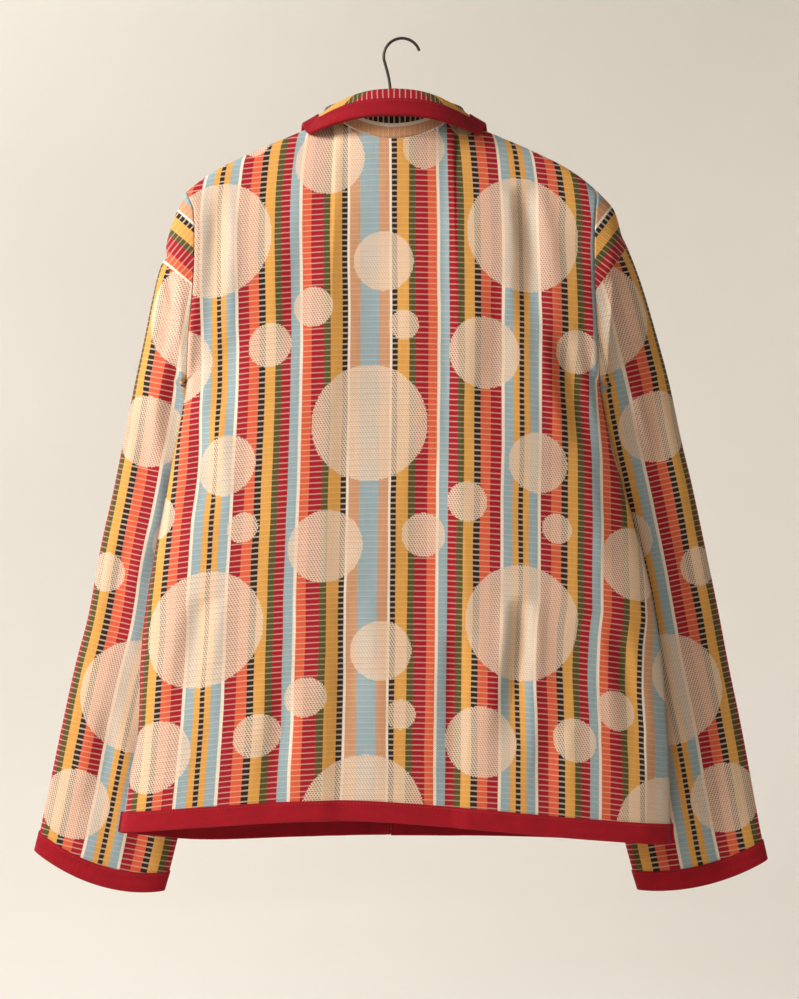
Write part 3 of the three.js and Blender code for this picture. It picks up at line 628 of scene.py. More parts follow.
def shell(name, outer, inner, maps, closed=False):
    """A closed shell of cloth; each map holds its two values at each place of the grid."""
    n, m = outer.shape[:2]
    spans = n if closed else n - 1
    i, j = (k.ravel() for k in np.meshgrid(np.arange(spans), np.arange(m - 1), indexing="ij"))
    faces = [
        quads((i, j, 0), (i, j + 1, 0), (i + 1, j + 1, 0), (i + 1, j, 0)),
        quads((i, j, 1), (i + 1, j, 1), (i + 1, j + 1, 1), (i, j + 1, 1)),
    ]
    k, end = np.arange(spans), m - 1
    rims = [
        quads((k, 0, 0), (k + 1, 0, 0), (k + 1, 0, 1), (k, 0, 1)),
        quads((k, end, 0), (k, end, 1), (k + 1, end, 1), (k + 1, end, 0)),
    ]
    if not closed:
        k, end = np.arange(m - 1), n - 1
        rims += [
            quads((0, k, 0), (0, k, 1), (0, k + 1, 1), (0, k + 1, 0)),
            quads((end, k, 0), (end, k + 1, 0), (end, k + 1, 1), (end, k, 1)),
        ]
    corner = np.concatenate(faces + rims)
    flat = np.arange(len(corner)) >= sum(len(f) for f in faces)
    place = np.concatenate([outer.reshape(-1, 3), inner.reshape(-1, 3)])
    index = corner[..., 2] * n * m + corner[..., 0] % n * m + corner[..., 1]
    spread = {key: value[corner[..., 0], corner[..., 1]] for key, value in maps.items()}
    return make_piece(name, place, index, spread, flat)


print("shells are", WALL, "mm thick")

# %% [markdown]
# ## Where the stripes lie
# The cloth is woven with stripes along it and ribs across it. Each face corner gets a place on the
# flat cloth, in metres: how far across the stripes, and how far along them. Distances are measured
# over the folds, so the stripes crowd together where the cloth turns away, as real ones do.

# %% Cloth coordinates
STRIPE_CENTRE = {-1: -32, 1: -8}
RIB_SAG = 22
RIB_SAG_AT = 250
LEAN_AT_HEM = 5
LEAN_LEFT = 20
LEAN_LEFT_AT = 160
lean_rows = table("drop lean", [(90, 0.14), (200, 0.07), (330, 0), (560, 0.45), (820, 1)])


def on_cloth(facing, grid):
    """Places on the flat cloth of a body panel's points."""
    x, y, drop = grid[..., 0], grid[..., 1], -grid[..., 2]
    steps = np.hypot(np.diff(x, axis=0), np.diff(y, axis=0))
    arc = np.concatenate([np.zeros((1, x.shape[1])), np.cumsum(steps, axis=0)])
    middle = [np.interp(STRIPE_CENTRE[facing], x[:, j], arc[:, j]) for j in range(x.shape[1])]
    lean = read(lean_rows, "drop", "lean", drop)
    to_left = np.clip((STRIPE_CENTRE[facing] - x) / LEAN_LEFT_AT, 0, 1.3)
    u = arc - np.array(middle) + lean * (LEAN_AT_HEM + LEAN_LEFT * to_left)
    v = drop - RIB_SAG * ((x - CENTRE_X) / RIB_SAG_AT) ** 2
    return np.stack([u, v], -1) * MM


def cloth_area(grid, closed=False):
    """The area of a grid of points, in square metres."""
    if closed:
        grid = np.concatenate([grid, grid[:1]])
    a = grid[1:, 1:] - grid[:-1, :-1]
    b = grid[1:, :-1] - grid[:-1, 1:]
    return float(np.linalg.norm(np.cross(a, b), axis=-1).sum() / 2) * MM**2


print("the middle stripe of the back lies at x =", STRIPE_CENTRE[-1])

# %% [markdown]
# ## Back and fronts
# A panel has columns from its upper edge and rows down to the hem. Rows crowd at the shoulder and
# under the arm, where the shape turns fastest.

# %% Panels
SHOULDER_COLUMNS = 50
NECK_STEP = 4
ARMHOLE_ROWS = 60
LOWER_ROWS = 140


def shoulder_columns(side):
    start = CENTRE_X + side * NECK_HALF
    return mix(start, TIP[side], np.linspace(0, 1, SHOULDER_COLUMNS + 1))


def neck_columns(first, last):
    turns = np.arange(first, last + 1, NECK_STEP)
    return CENTRE_X + NECK_HALF * np.sin(np.radians(turns))


armhole_levels = UNDERARM_LEVEL * (1 - np.cos(np.linspace(0, math.pi, ARMHOLE_ROWS + 1))) / 2
lower_levels = np.linspace(UNDERARM_LEVEL, 1, LOWER_ROWS + 1)[1:]
levels = np.concatenate([armhole_levels, lower_levels])
OVER_TURN, UNDER_TURN = 10, 20
left_half = shoulder_columns(-1)[::-1]
right_half = shoulder_columns(1)
columns = {
    "back": np.concatenate([left_half, neck_columns(-86, 86), right_half]),
    "front_left": np.concatenate([left_half, neck_columns(-86, OVER_TURN)]),
    "front_right": np.concatenate([neck_columns(-UNDER_TURN, 86), right_half]),
}
surfaces = {
    "back": lambda x, level: body_point(-1, x, level),
    "front_left": lambda x, level: body_point(1, x, level, overlap_lift),
    "front_right": lambda x, level: body_point(1, x, level),
}
pieces = {}
areas = {}


def panel_seams(x, level):
    """Where a panel's cloth is mitred, and the axis that its way out leaves alone."""
    at_tip = (x == TIP[-1]) | (x == TIP[1])
    on_shoulder = (level == 0) & (abs(x - CENTRE_X) >= NECK_HALF - STEP)
    on_side = at_tip & (level >= UNDERARM_LEVEL)
    return [(at_tip & (level < UNDERARM_LEVEL), ACROSS), (on_side | on_shoulder, DEEP)]


def make_panel(name):
    facing = -1 if name == "back" else 1
    surface, xs = surfaces[name], columns[name]
    x, level = np.meshgrid(xs, levels, indexing="ij")
    outer = surface(x, level)
    at_neck = (level == 0) & (abs(x - CENTRE_X) < NECK_HALF - STEP)
    way = way_out(surface, x, level, limits_of(xs, levels), facing, panel_seams(x, level))
    way = np.where(at_neck[..., None], neck_out(neck_turn(facing, x)), way)
    inner = outer - WALL * way
    pieces[name] = shell(f"sewn_{name}", outer, inner, {"cloth": on_cloth(facing, outer)})
    areas[name] = cloth_area(outer)


for panel in columns:
    make_panel(panel)
print("areas in square metres:", {name: round(area, 3) for name, area in areas.items()})

# %% [markdown]
# ## Sleeves
# A sleeve is one tube. Its stripes run along its outer edge, and they start again at the underarm
# seam. Above the fold in its cap the cloth lies turned, with its stripes running down to the
# armhole, so those places get a second map, and a third says on which side of the fold they are.

# %% Sleeve tubes
SLEEVE_SIDES = 96
CAP_ROWS = 26
TUBE_ROWS = 184
GRAIN_FROM = 0.125
GRAIN_POINTS = 120
GRAIN_BEFORE = 150
CAP_GRAIN = {-1: 41, 1: 127}
SLEEVE_STRIPE_START = 82

OUTER_EDGE = SLEEVE_SIDES // 2
turns = 180 + 360 * np.arange(SLEEVE_SIDES + 1) / SLEEVE_SIDES
parts = np.concatenate(
    [np.linspace(0, CAP_BLEND, CAP_ROWS + 1), np.linspace(CAP_BLEND, 1, TUBE_ROWS + 1)[1:]]
)


def grain_line(side):
    """A smooth line down the sleeve's outer edge, carried straight on above its cap."""
    rows = sleeve_rows[side]
    part = np.linspace(GRAIN_FROM, 1, GRAIN_POINTS)
    x, drop = (read(rows, "part", name, part) for name in ("outer_x", "outer_drop"))
    line = np.stack([np.polyval(np.polyfit(drop, x, 2), drop), drop], -1)
    ahead = unit(line[6] - line[0])
    return np.concatenate([[line[0] - ahead * GRAIN_BEFORE], line])


def beside_grain(line, place):
    """How far points lie beside a line, to its right going down, and how far along it."""
    start, step = line[:-1], np.diff(line, axis=0)
    size = np.linalg.norm(step, axis=1)
    before = np.concatenate([[0], np.cumsum(size)[:-1]])
    off = place[:, None] - start
    t = np.clip((off * step).sum(-1) / size**2, 0, 1)
    gap = np.linalg.norm(off - step * t[..., None], axis=-1)
    k, row = gap.argmin(axis=1), np.arange(len(place))
    turn = np.sign(step[k, 1] * off[row, k, 0] - step[k, 0] * off[row, k, 1])
    return gap[row, k] * turn, before[k] + t[row, k] * size[k]


def round_tube(off, wide, half):
    """The way round a flat tube of a width and half depth, to a place off its outer edge."""
    share = np.clip(off / wide, 0, 1)
    near = np.minimum(share, 1 - share)
    way = np.hypot(near * wide, half * np.sin(np.arccos(1 - 2 * near)))
    return np.where(share < 0.5, way, 2 * np.hypot(wide / 2, half) - way)


def along_grain(side, grid):
    """Places on the flat cloth of a sleeve's points, from its outer edge round to the seam."""
    line = grain_line(side)
    flat = np.stack([grid[..., 0], -grid[..., 2]], -1)
    gaps, ways = (np.stack(k) for k in zip(*(beside_grain(line, column) for column in flat)))
    off = abs(gaps - np.interp(ways, ways[OUTER_EDGE], gaps[OUTER_EDGE]))
    wide = np.interp(ways, ways[0], off[0])
    half = np.interp(ways, ways[OUTER_EDGE], read(sleeve_rows[side], "part", "half", parts))
    u = round_tube(off, wide, half)
    sign = np.where(np.arange(len(grid)) < OUTER_EDGE, -1, 1)[:, None]
    return np.stack([u * sign + SLEEVE_STRIPE_START, ways], -1) * MM


def on_cap(side, grid):
    """Places on the cap's turned cloth, whose ribs go on round the sleeve's outer edge."""
    angle = math.radians(CAP_GRAIN[side])
    x, drop = grid[..., 0] - TIP[side], -grid[..., 2] - TIP_DROP
    along = x * math.cos(angle) + drop * math.sin(angle)
    across = x * math.sin(angle) - drop * math.cos(angle)
    edge = along[OUTER_EDGE]
    way = np.hypot(along - edge, grid[..., 1] - grid[OUTER_EDGE, :, 1])
    at_back = np.arange(len(grid))[:, None] > OUTER_EDGE
    return np.stack([across, np.where(at_back, along, edge - way)], -1) * MM


def sleeve_surface(side):
    return lambda turn, part: sleeve_point(side, turn, part)


def make_sleeve(name, side):
    surface = sleeve_surface(side)
    turn, part = np.meshgrid(turns[:-1], parts, indexing="ij")
    outer = surface(turn, part)
    limits = limits_of(turns, parts, closed=True)
    way = way_out(surface, turn, part, limits, side, [(part == 0, ACROSS)])
    whole = np.concatenate([outer, outer[:1]])
    above = beside_fold(side, whole[..., 0], -whole[..., 2]) * MM
    maps = {
        "cloth": along_grain(side, whole),
        "cap": on_cap(side, whole),
        "fold": np.stack([above, above], -1),
    }
    pieces[name] = shell(f"sewn_{name}", outer, outer - WALL * way, maps, closed=True)
    areas[name] = cloth_area(outer, closed=True)


make_sleeve("sleeve_left", -1)
make_sleeve("sleeve_right", 1)

# %% [markdown]
# ## Collar
# On the collar the stripes run round the neck, so its ribs stand upright. The stand under the fall
# shows the cloth's other side.

# %% Collar shell
COLLAR_STEP = 2.5
COLLAR_PLACES = {0.4: 12, 0.6: 10, 0.8: 8, 1.0: 8}
COLLAR_STRIPE_START = 12
COLLAR_NARROW = 0.7

collar_turns = np.arange(-COLLAR_TURN, COLLAR_TURN + 0.1, COLLAR_STEP)
collar_lines = np.zeros(1)
for reach, count in COLLAR_PLACES.items():
    more = np.linspace(collar_lines[-1], reach, count + 1)[1:]
    collar_lines = np.concatenate([collar_lines, more])


def make_collar():
    turn, across = np.meshgrid(collar_turns, collar_lines, indexing="ij")
    outer = collar_point(turn, across)
    limits = limits_of(collar_turns, collar_lines)
    way = way_out(collar_point, turn, across, limits, -1)
    way = np.where((across == 0)[..., None], -neck_out(turn), way)
    steps = np.linalg.norm(np.diff(outer, axis=1), axis=-1)
    u = np.concatenate([np.zeros((len(outer), 1)), np.cumsum(steps, axis=1)], axis=1)
    round_it = np.linalg.norm(np.diff(outer[:, -1], axis=0), axis=-1)
    v = np.concatenate([[0], np.cumsum(round_it)])[:, None] + np.zeros_like(u)
    cloth = np.stack([u * COLLAR_NARROW + COLLAR_STRIPE_START, v], -1) * MM
    pieces["collar"] = shell("sewn_collar", outer, outer - WALL * way, {"cloth": cloth})
    areas["collar"] = cloth_area(outer)


make_collar()

# %% [markdown]
# ## Bindings
# A tape of red twill is folded over each free edge and stitched down on both sides. It is a strip
# with a section like a U, swept along the edge. Its section is read from the cloth's own surface at
# several places back from the edge, so that the tape follows every fold. A flat strip laid on top
# would be simpler, but it would sink into the folds.

# %% Tape helper
TAPE_WIDTH = 20
TAPE_BACK = np.array([1, 0.96, 0.8, 0.6, 0.4, 0.2, 0.07, 0])
TAPE_ROUND = np.radians([64, 38, 13, -13, -38, -64])


def at_edges(rail, width, gap):
    """Outer and inner outlines of a folded tape along an edge."""
    backs = width * TAPE_BACK
    place, way = (np.stack(k, 1) for k in zip(*(rail(back) for back in backs)))
    down = unit(place[:, -1] - place[:, -2])[:, None]
    outlines = []
    for far in (gap + TAPE, gap):
        bend = points(far * np.cos(TAPE_ROUND), (WALL / 2 + far) * np.sin(TAPE_ROUND), 0)
        lift = bend[:, 1, None] - WALL / 2
        turned = place[:, -1:] + down * bend[:, 0, None] + way[:, -1:] * lift
        inside = place - way * (WALL + far)
        outlines.append(np.concatenate([place + way * far, turned, inside[:, ::-1]], axis=1))
    return outlines


def length_along(line):
    steps = np.linalg.norm(np.diff(line, axis=0), axis=-1)
    return np.concatenate([[0], np.cumsum(steps)])


def make_tape(name, rail, width=TAPE_WIDTH, gap=SEAM, closed=False):
    """A folded tape; rail gives the cloth's points and ways out at a distance from its edge."""
    outer, inner = at_edges(rail, width, gap)
    if closed:
        outer, inner = (np.concatenate([k, k[:1]]) for k in (outer, inner))
    along = length_along(outer[:, outer.shape[1] // 2])
    across = length_along(outer[len(outer) // 2])
    maps = {"cloth": np.stack(np.meshgrid(along, across, indexing="ij"), -1) * MM}
    if closed:
        outer, inner = outer[:-1], inner[:-1]
    pieces[name] = shell(f"sewn_{name}", outer, inner, maps, closed=closed)


print("a tape is", TAPE, "mm thick and", TAPE_WIDTH, "mm wide on each face")

# %% [markdown]
# The edges are the hem of the back and of each front, both cuffs, the collar's fall, and the two
# front edges. Each one gets a rail: a function that walks back into the cloth from the edge.

# %% Rails and tapes
TAPE_STEP = 4
HEM_STEP = 3
FRONT_LENGTH = 730
PROBE = 4
PART_PROBE = 0.02


def evenly(start, stop, step):
    return np.linspace(start, stop, max(2, round(abs(stop - start) / step) + 1))


def hem_rail(name, first, last):
    """The hem of a panel, between two columns."""
    facing = -1 if name == "back" else 1
    surface, limits = surfaces[name], limits_of(columns[name], levels)
    x = evenly(first, last, HEM_STEP)
    tall = -surface(x, 1)[:, 2] + surface(x, 0)[:, 2]

    def rail(back):
        level = 1 - back / tall
        seams = panel_seams(x, level)
        return surface(x, level), way_out(surface, x, level, limits, facing, seams)

    return rail


def cuff_rail(side):
    """The end of a sleeve, all the way round."""
    surface = sleeve_surface(side)
    turn = turns[:-1]
    limits = limits_of(turns, parts, closed=True)
    step = surface(turn, 1) - surface(turn, 1 - PART_PROBE)
    near = np.linalg.norm(step, axis=-1) / PART_PROBE

    def rail(back):
        part = 1 - back / near
        return surface(turn, part), way_out(surface, turn, part, limits, side)

    return rail


def front_rail(name, edge, side):
    """A front's free edge, from the neck to the hem."""
    surface, limits = surfaces[name], limits_of(columns[name], levels)
    level = evenly(0.002, 1, TAPE_STEP / FRONT_LENGTH)
    step = surface(edge, level) - surface(edge - side * PROBE, level)
    near = np.linalg.norm(step, axis=-1) / PROBE

    def rail(back):
        x = edge - side * back / near
        return surface(x, level), way_out(surface, x, level, limits, 1)

    return rail


def collar_rail(back):
    """The edge of the collar's fall."""
    across = np.full_like(collar_turns, 1 - (1 - TAPE_START) * back / COLLAR_TAPE_WIDTH)
    limits = limits_of(collar_turns, collar_lines)
    return (
        collar_point(collar_turns, across),
        way_out(collar_point, collar_turns, across, limits, -1),
    )


def hem_end(name, edge, side):
    """Where a front's hem tape stops, just beside the tape of its edge."""
    surface = surfaces[name]
    near = np.linalg.norm(surface(edge, 1) - surface(edge - side * PROBE, 1)) / PROBE
    return edge - side * (TAPE_WIDTH + SEAM) / near


over_edge = columns["front_left"][-1]
under_edge = columns["front_right"][0]
rails = {
    "hem_tape_back": hem_rail("back", TIP[-1], TIP[1]),
    "hem_tape_left": hem_rail("front_left", TIP[-1], hem_end("front_left", over_edge, 1)),
    "hem_tape_right": hem_rail("front_right", hem_end("front_right", under_edge, -1), TIP[1]),
    "cuff_tape_left": cuff_rail(-1),
    "cuff_tape_right": cuff_rail(1),
    "collar_tape": collar_rail,
    "edge_tape_left": front_rail("front_left", over_edge, 1),
    "edge_tape_right": front_rail("front_right", under_edge, -1),
}
for name, rail in rails.items():
    if name == "collar_tape":
        make_tape(name, rail, COLLAR_TAPE_WIDTH, COLLAR_TAPE_GAP)
    else:
        make_tape(name, rail, closed=name.startswith("cuff"))

# %% [markdown]
# ## Stitches
# A row of lockstitches holds each tape, a little in from its edge and through both faces. A stitch
# is a short soft bead of thread that dips at both ends. Bump could fake them, but they catch the
# light better as real beads.

# %% Stitches
STITCH_PITCH = 3.4
STITCH_LONG = 2.7
STITCH_THICK = 0.42
STITCH_IN = 2.4
FIRST_STITCH = 2
BEAD_SIDES = 5
# Each ring's place along the bead, its size and its lift
bead_rings = [(-0.5, 0.25, -0.5), (-0.22, 1, 0.35), (0.22, 1, 0.35), (0.5, 0.25, -0.5)]


def beads(name, starts, ends, ways):
    """Beads of thread between pairs of points, lying on a face with the ways out given."""
    along = ends - starts
    out = unit(ways)
    beside = unit(np.cross(along, out))
    angle = np.arange(BEAD_SIDES) * 2 * math.pi / BEAD_SIDES
    rings = []
    for place, size, lift in bead_rings:
        centre = (starts + ends) / 2 + along * place + out * STITCH_THICK * lift
        ring = centre[:, None] + STITCH_THICK * size * (
            np.cos(angle)[:, None] * beside[:, None] + np.sin(angle)[:, None] * out[:, None]
        )
        rings.append(ring)
    place = np.stack(rings, 1)
    count, levels_in, sides = place.shape[:3]
    n, i, k = (x.ravel() for x in np.mgrid[:count, : levels_in - 1, :sides])
    corner = [(n, i, k), (n, i, (k + 1) % sides), (n, i + 1, (k + 1) % sides), (n, i + 1, k)]
    index = np.stack([(a * levels_in + b) * sides + c for a, b, c in corner], 1)
    uv = np.stack([place[..., 0].ravel()[index], place[..., 2].ravel()[index]], -1) * MM
    return make_piece(name, place.reshape(-1, 3), index, {"cloth": uv})


def stitch_row(name, rail, width, gap, closed):
    """Stitches near the edge of a tape, on both of its faces."""
    place, way = rail(width - STITCH_IN)
    if closed:
        place, way = (np.concatenate([k, k[:1]]) for k in (place, way))
    rows = [[], [], []]
    for off, sign in ((gap + TAPE, 1), (-WALL - gap - TAPE, -1)):
        line = place + way * off
        at = length_along(line)
        starts = np.arange(FIRST_STITCH, at[-1] - STITCH_PITCH, STITCH_PITCH)
        for row, where in zip(rows, (starts, starts + STITCH_LONG)):
            row.append(np.stack([np.interp(where, at, line[:, k]) for k in range(3)], -1))
        out = [np.interp(starts, at, sign * way[:, k]) for k in range(3)]
        rows[2].append(np.stack(out, -1))
    pieces[name] = beads(name, *(np.concatenate(row) for row in rows))


stitched = {}
for tape_name, rail in rails.items():
    is_collar = tape_name == "collar_tape"
    stitched[tape_name] = tape_name.replace("tape", "stitches")
    width = COLLAR_TAPE_WIDTH if is_collar else TAPE_WIDTH
    gap = COLLAR_TAPE_GAP if is_collar else SEAM
    stitch_row(stitched[tape_name], rail, width, gap, tape_name.startswith("cuff"))

# %% [markdown]
# ## Thread of the buttons
# The five buttons keep their solid, with its four holes. Two bars of thread cross each one.

# %% Button threads
BUTTON_COUNT = 5
BUTTON_HOLE_OUT = 2.6
THREAD_STRANDS = (-0.45, 0, 0.45)
THREAD_OVER = 0.7
THREAD_SUNK = 0.15


def button_thread(k):
    low, high = (np.array(corner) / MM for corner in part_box(f"button_{k}"))
    middle = (low + high) / 2
    hole = BUTTON_HOLE_OUT * math.sqrt(0.5)
    reach = hole + THREAD_OVER
    starts, ends = [], []
    for bar in (-hole, hole):
        for strand in THREAD_STRANDS:
            y, z = high[1] - THREAD_SUNK, middle[2] + strand + bar
            starts.append((middle[0] - reach, y, z))
            ends.append((middle[0] + reach, y, z))
    ways = np.tile([0.0, 1, 0], (len(starts), 1))
    name = f"button_thread_{k}"
    pieces[name] = beads(name, np.array(starts), np.array(ends), ways)


for k in range(1, BUTTON_COUNT + 1):
    button_thread(k)

# %% [markdown]
# ## The wire hanger
# One steel wire makes the hook, the triangle and two turns round its own neck. A curve with a round
# bevel is the natural way to draw a wire: its route is the same as the solid's, and it is smooth.

# %% Hanger
WIRE = 3
HOOK_RADIUS = 18.5
HOOK_TIP, HOOK_END = 18, 200
HOOK_STEPS = 16
APEX_DROP = 62
ARM_BELOW = 8.2
ARM_REACHES = [0, 40, 80, 108, 124]
BEND_RADIUS = 8
BEND_START, BEND_END, BEND_STEPS = 115, 270, 6
BEND_SHIFT = 2
NECK_WIRE_X = -12
TWIST_TURNS, TWIST_STEPS = 2, 10
TWIST_PITCH = 3.5
TWIST_RADIUS = 3.4
TWIST_LIFT = 1
ROUNDNESS = 5


def round_points(degrees, radius, centre):
    angle = np.radians(degrees)
    return points(radius * np.cos(angle), 0, radius * np.sin(angle)) + centre


def hanger_arm(side):
    """An arm under the shoulder line, and the bend at its end."""
    reach = CENTRE_X + side * (NECK_HALF + np.array(ARM_REACHES))
    arm = top_edge(-1, reach) * (1, 0, 1) - (0, 0, ARM_BELOW)
    centre = arm[-1] + (-side * BEND_SHIFT, 0, -BEND_RADIUS)
    turn = np.linspace(BEND_START, BEND_END, BEND_STEPS + 1)
    bend = round_points(turn if side < 0 else 180 - turn, BEND_RADIUS, centre)
    return np.concatenate([arm[:-1], bend])


def hanger_route():
    hook_turns = np.linspace(HOOK_TIP, HOOK_END, HOOK_STEPS + 1)
    hook = round_points(hook_turns, HOOK_RADIUS, (0, 0, WIRE / 2 - HOOK_RADIUS))
    # From the hook's end down to the twist, as x and drop
    neck_x = [-15, -13, NECK_WIRE_X, NECK_WIRE_X, NECK_WIRE_X - 1, NECK_WIRE_X - 4]
    neck_drop = [32, 41, 50, APEX_DROP - 3, APEX_DROP, APEX_DROP + 2.6]
    neck = points(np.array(neck_x), 0, -np.array(neck_drop))
    left, right = hanger_arm(-1), hanger_arm(1)
    right[:, 2] += left[-1, 2] - right[-1, 2]
    turn = np.linspace(0, TWIST_TURNS, TWIST_TURNS * TWIST_STEPS + 1)
    twist = points(
        NECK_WIRE_X + TWIST_RADIUS * np.cos(2 * math.pi * turn),
        TWIST_RADIUS * np.sin(2 * math.pi * turn),
        TWIST_PITCH * turn - APEX_DROP + TWIST_LIFT,
    )
    return np.concatenate([hook, neck, left, right[::-1], twist])


route = hanger_route()
wire = bpy.data.curves.new("wire_hanger", "CURVE")
wire.dimensions = "3D"
wire.bevel_depth = WIRE / 2 * MM
wire.bevel_resolution = ROUNDNESS
wire.use_fill_caps = True
spline = wire.splines.new("BEZIER")
spline.bezier_points.add(len(route) - 1)
for point, place in zip(spline.bezier_points, route):
    point.co = place * MM
    point.handle_left_type = point.handle_right_type = "AUTO"
spline.resolution_u = ROUNDNESS
pieces["wire_hanger"] = bpy.data.objects.new("wire_hanger", wire)
bpy.context.scene.collection.objects.link(pieces["wire_hanger"])
print("wire route of", len(route), "points,", round(length_along(route)[-1]), "mm long")

# %% [markdown]
# ## Shader maths
# The weave is drawn by arithmetic on the cloth coordinates. A small class wraps a socket, so that
# the sums read like sums, and each of them adds its own Math node.

# %% Shader class


class Thread:
    """A socket in a material's node tree."""

    def __init__(self, tree, socket):
        self.tree, self.socket = tree, socket

    def add(self, kind, settings, inputs, output=0):
        """Adds a node: its settings first, then a value or a link for each socket named."""
        node = self.tree.nodes.new(kind)
        for key, value in settings.items():
            if key == "stops":
                node.color_ramp.interpolation = "CONSTANT"
                set_stops(node.color_ramp.elements, value)
            else:
                setattr(node, key, value)
        for key, value in inputs.items():
            if isinstance(value, Thread):
                self.tree.links.new(value.socket, node.inputs[key])
            else:
                node.inputs[key].default_value = value
        return Thread(self.tree, node.outputs[output])

    def maths(self, operation, *values):
        return self.add("ShaderNodeMath", {"operation": operation}, dict(enumerate(values)))

    def __add__(self, other):
        return self.maths("ADD", self, other)

    def __sub__(self, other):
        return self.maths("SUBTRACT", self, other)

    def __mul__(self, other):
        return self.maths("MULTIPLY", self, other)

    def __truediv__(self, other):
        return self.maths("DIVIDE", self, other)

    def __lt__(self, other):
        return self.maths("LESS_THAN", self, other)

    def __rsub__(self, other):
        return self.maths("SUBTRACT", other, self)

    __radd__ = __add__
    __rmul__ = __mul__

    def floor(self):
        return self.maths("FLOOR", self)

    def size(self):
        """The value without its sign."""
        return self.maths("ABSOLUTE", self)

    def part(self):
        """What is left above the whole number."""
        return self.maths("FRACT", self)

    def wave(self):
        return self.maths("SINE", self)

    def there_and_back(self, size):
        return self.maths("PINGPONG", self, size)

    def least(self, other):
        return self.maths("MINIMUM", self, other)

    def soft_step(self, low, high):
        """From 0 below the first value to 1 above the second."""
        settings = {"interpolation_type": "SMOOTHSTEP"}
        return self.add("ShaderNodeMapRange", settings, {0: self, 1: low, 2: high})

    def colour_to(self, other, factor):
        """This colour, or the other one where the factor is 1."""
        settings = {"data_type": "RGBA"}
        return self.add("ShaderNodeMix", settings, {0: factor, 6: self, 7: other}, 2)

    def brightened(self, factor):
        """A colour times a number."""
        settings = {"operation": "SCALE"}
        return self.add("ShaderNodeVectorMath", settings, {0: self, "Scale": factor})


def set_stops(elements, stops):
    while len(elements) < len(stops):
        elements.new(1)
    for element, (place, colour) in zip(elements, stops):
        element.position = place
        element.color = (*colour, 1)


def colour(red, green, blue):
    """A colour as light, from its values of 0 to 255 on a screen."""
    values = (np.array([red, green, blue]) / 255 + 0.055) / 1.055
    return tuple(float(v) for v in values**2.4)


def start_material(name, roughness, sheen=0.0, gloss=0.5):
    """A material with its shader, and a thread to start its sums from."""
    material = bpy.data.materials.new(name)
    material.use_nodes = True
    shader = material.node_tree.nodes["Principled BSDF"]
    shader.inputs["Roughness"].default_value = roughness
    shader.inputs["Sheen Weight"].default_value = sheen
    shader.inputs["Specular IOR Level"].default_value = gloss
    return material, shader, Thread(material.node_tree, shader.outputs[0])


def two_tone(first, second, factor):
    """The first colour, or the second one where the factor is 1."""
    inputs = {0: factor, 6: (*first, 1), 7: (*second, 1)}
    return factor.add("ShaderNodeMix", {"data_type": "RGBA"}, inputs, 2)


def give(shader, thread, name):
    thread.tree.links.new(thread.socket, shader.inputs[name])


def raise_by(thread, height, distance):
    """A Bump node: the height is in millimetres times the distance."""
    inputs = {"Height": height, "Distance": distance * MM, "Strength": 1.0}
    return thread.add("ShaderNodeBump", {}, inputs)


def noise(thread, place, scale, detail=2.0):
    """Soft noise from 0 to 1."""
    inputs = {"Vector": place, "Scale": scale, "Detail": detail}
    return thread.add("ShaderNodeTexNoise", {}, inputs)


def join(thread, x, y, z=0.0):
    return thread.add("ShaderNodeCombineXYZ", {}, {0: x, 1: y, 2: z})


print("crimson as light:", [round(v, 3) for v in colour(165, 25, 40)])

# %% [markdown]
# ## The striped cloth
# The jacket is cut from a ribbed cotton in stripes of many widths, which turn back on themselves
# like a mirrored scale. Fine raised ribs in cream cross the stripes, and pale dots of several
# sizes are worked over them. Stripes, ribs and dots are this jacket's own plain arrangement.

# %% Stripe order
CREAM = colour(232, 204, 178)
INK = {
    "blue": colour(146, 166, 172),
    "peach": colour(200, 146, 108),
    "white": colour(232, 216, 196),
    "black": colour(44, 32, 28),
    "yellow": colour(216, 156, 74),
    "olive": colour(84, 76, 36),
    "crimson": colour(158, 24, 38),
    "orange": colour(214, 92, 60),
}
# Each stripe and its width in millimetres
stripe_order = [
    ("blue", 9.5), ("peach", 10), ("white", 2.5), ("black", 5), ("yellow", 12),
    ("olive", 7), ("crimson", 12), ("orange", 9), ("white", 3), ("blue", 9),
    ("crimson", 9), ("olive", 7), ("yellow", 10), ("black", 6.5), ("orange", 10),
    ("crimson", 11), ("white", 3), ("blue", 9), ("yellow", 6), ("black", 2.5),
]
# How each colour is woven: strength of its ribs, their width in a pitch, and strength in a dot
woven = {
    "blue": (0.42, 0.2, 0.6), "peach": (0.42, 0.2, 0.45), "white": (0.15, 0.2, 0.25),
    "black": (0.95, 0.25, 1.0), "yellow": (0.3, 0.2, 0.5), "olive": (0.6, 0.17, 0.9),
    "crimson": (0.75, 0.19, 0.85), "orange": (0.66, 0.19, 0.7),
}
REPEAT = sum(width for name, width in stripe_order)


def stops_of(values):
    """Ramp stops for the stripes, one at the start of each."""
    at, stops = 0, []
    for name, width in stripe_order:
        stops.append((at / REPEAT, values[name]))
        at += width
    return stops


print("half the repeat is", REPEAT, "mm in", len(stripe_order), "stripes")

# %% [markdown]
# Dots are circles in a half-drop layout: each column of them starts half a height lower than the
# last. A circle's edge is counted in whole threads, which gives it the stepped edge of weaving.

# %% Dots
COLUMN_PITCH = 156
COLUMN_HEIGHT = 390
WARP, WEFT = 1.2, 1.1
dot_layout = [
    (0, 0, 58), (-41, 122, 36), (14, -162, 30),
    (55, 112, 22), (-57, -118, 20), (34, -98, 15),
]


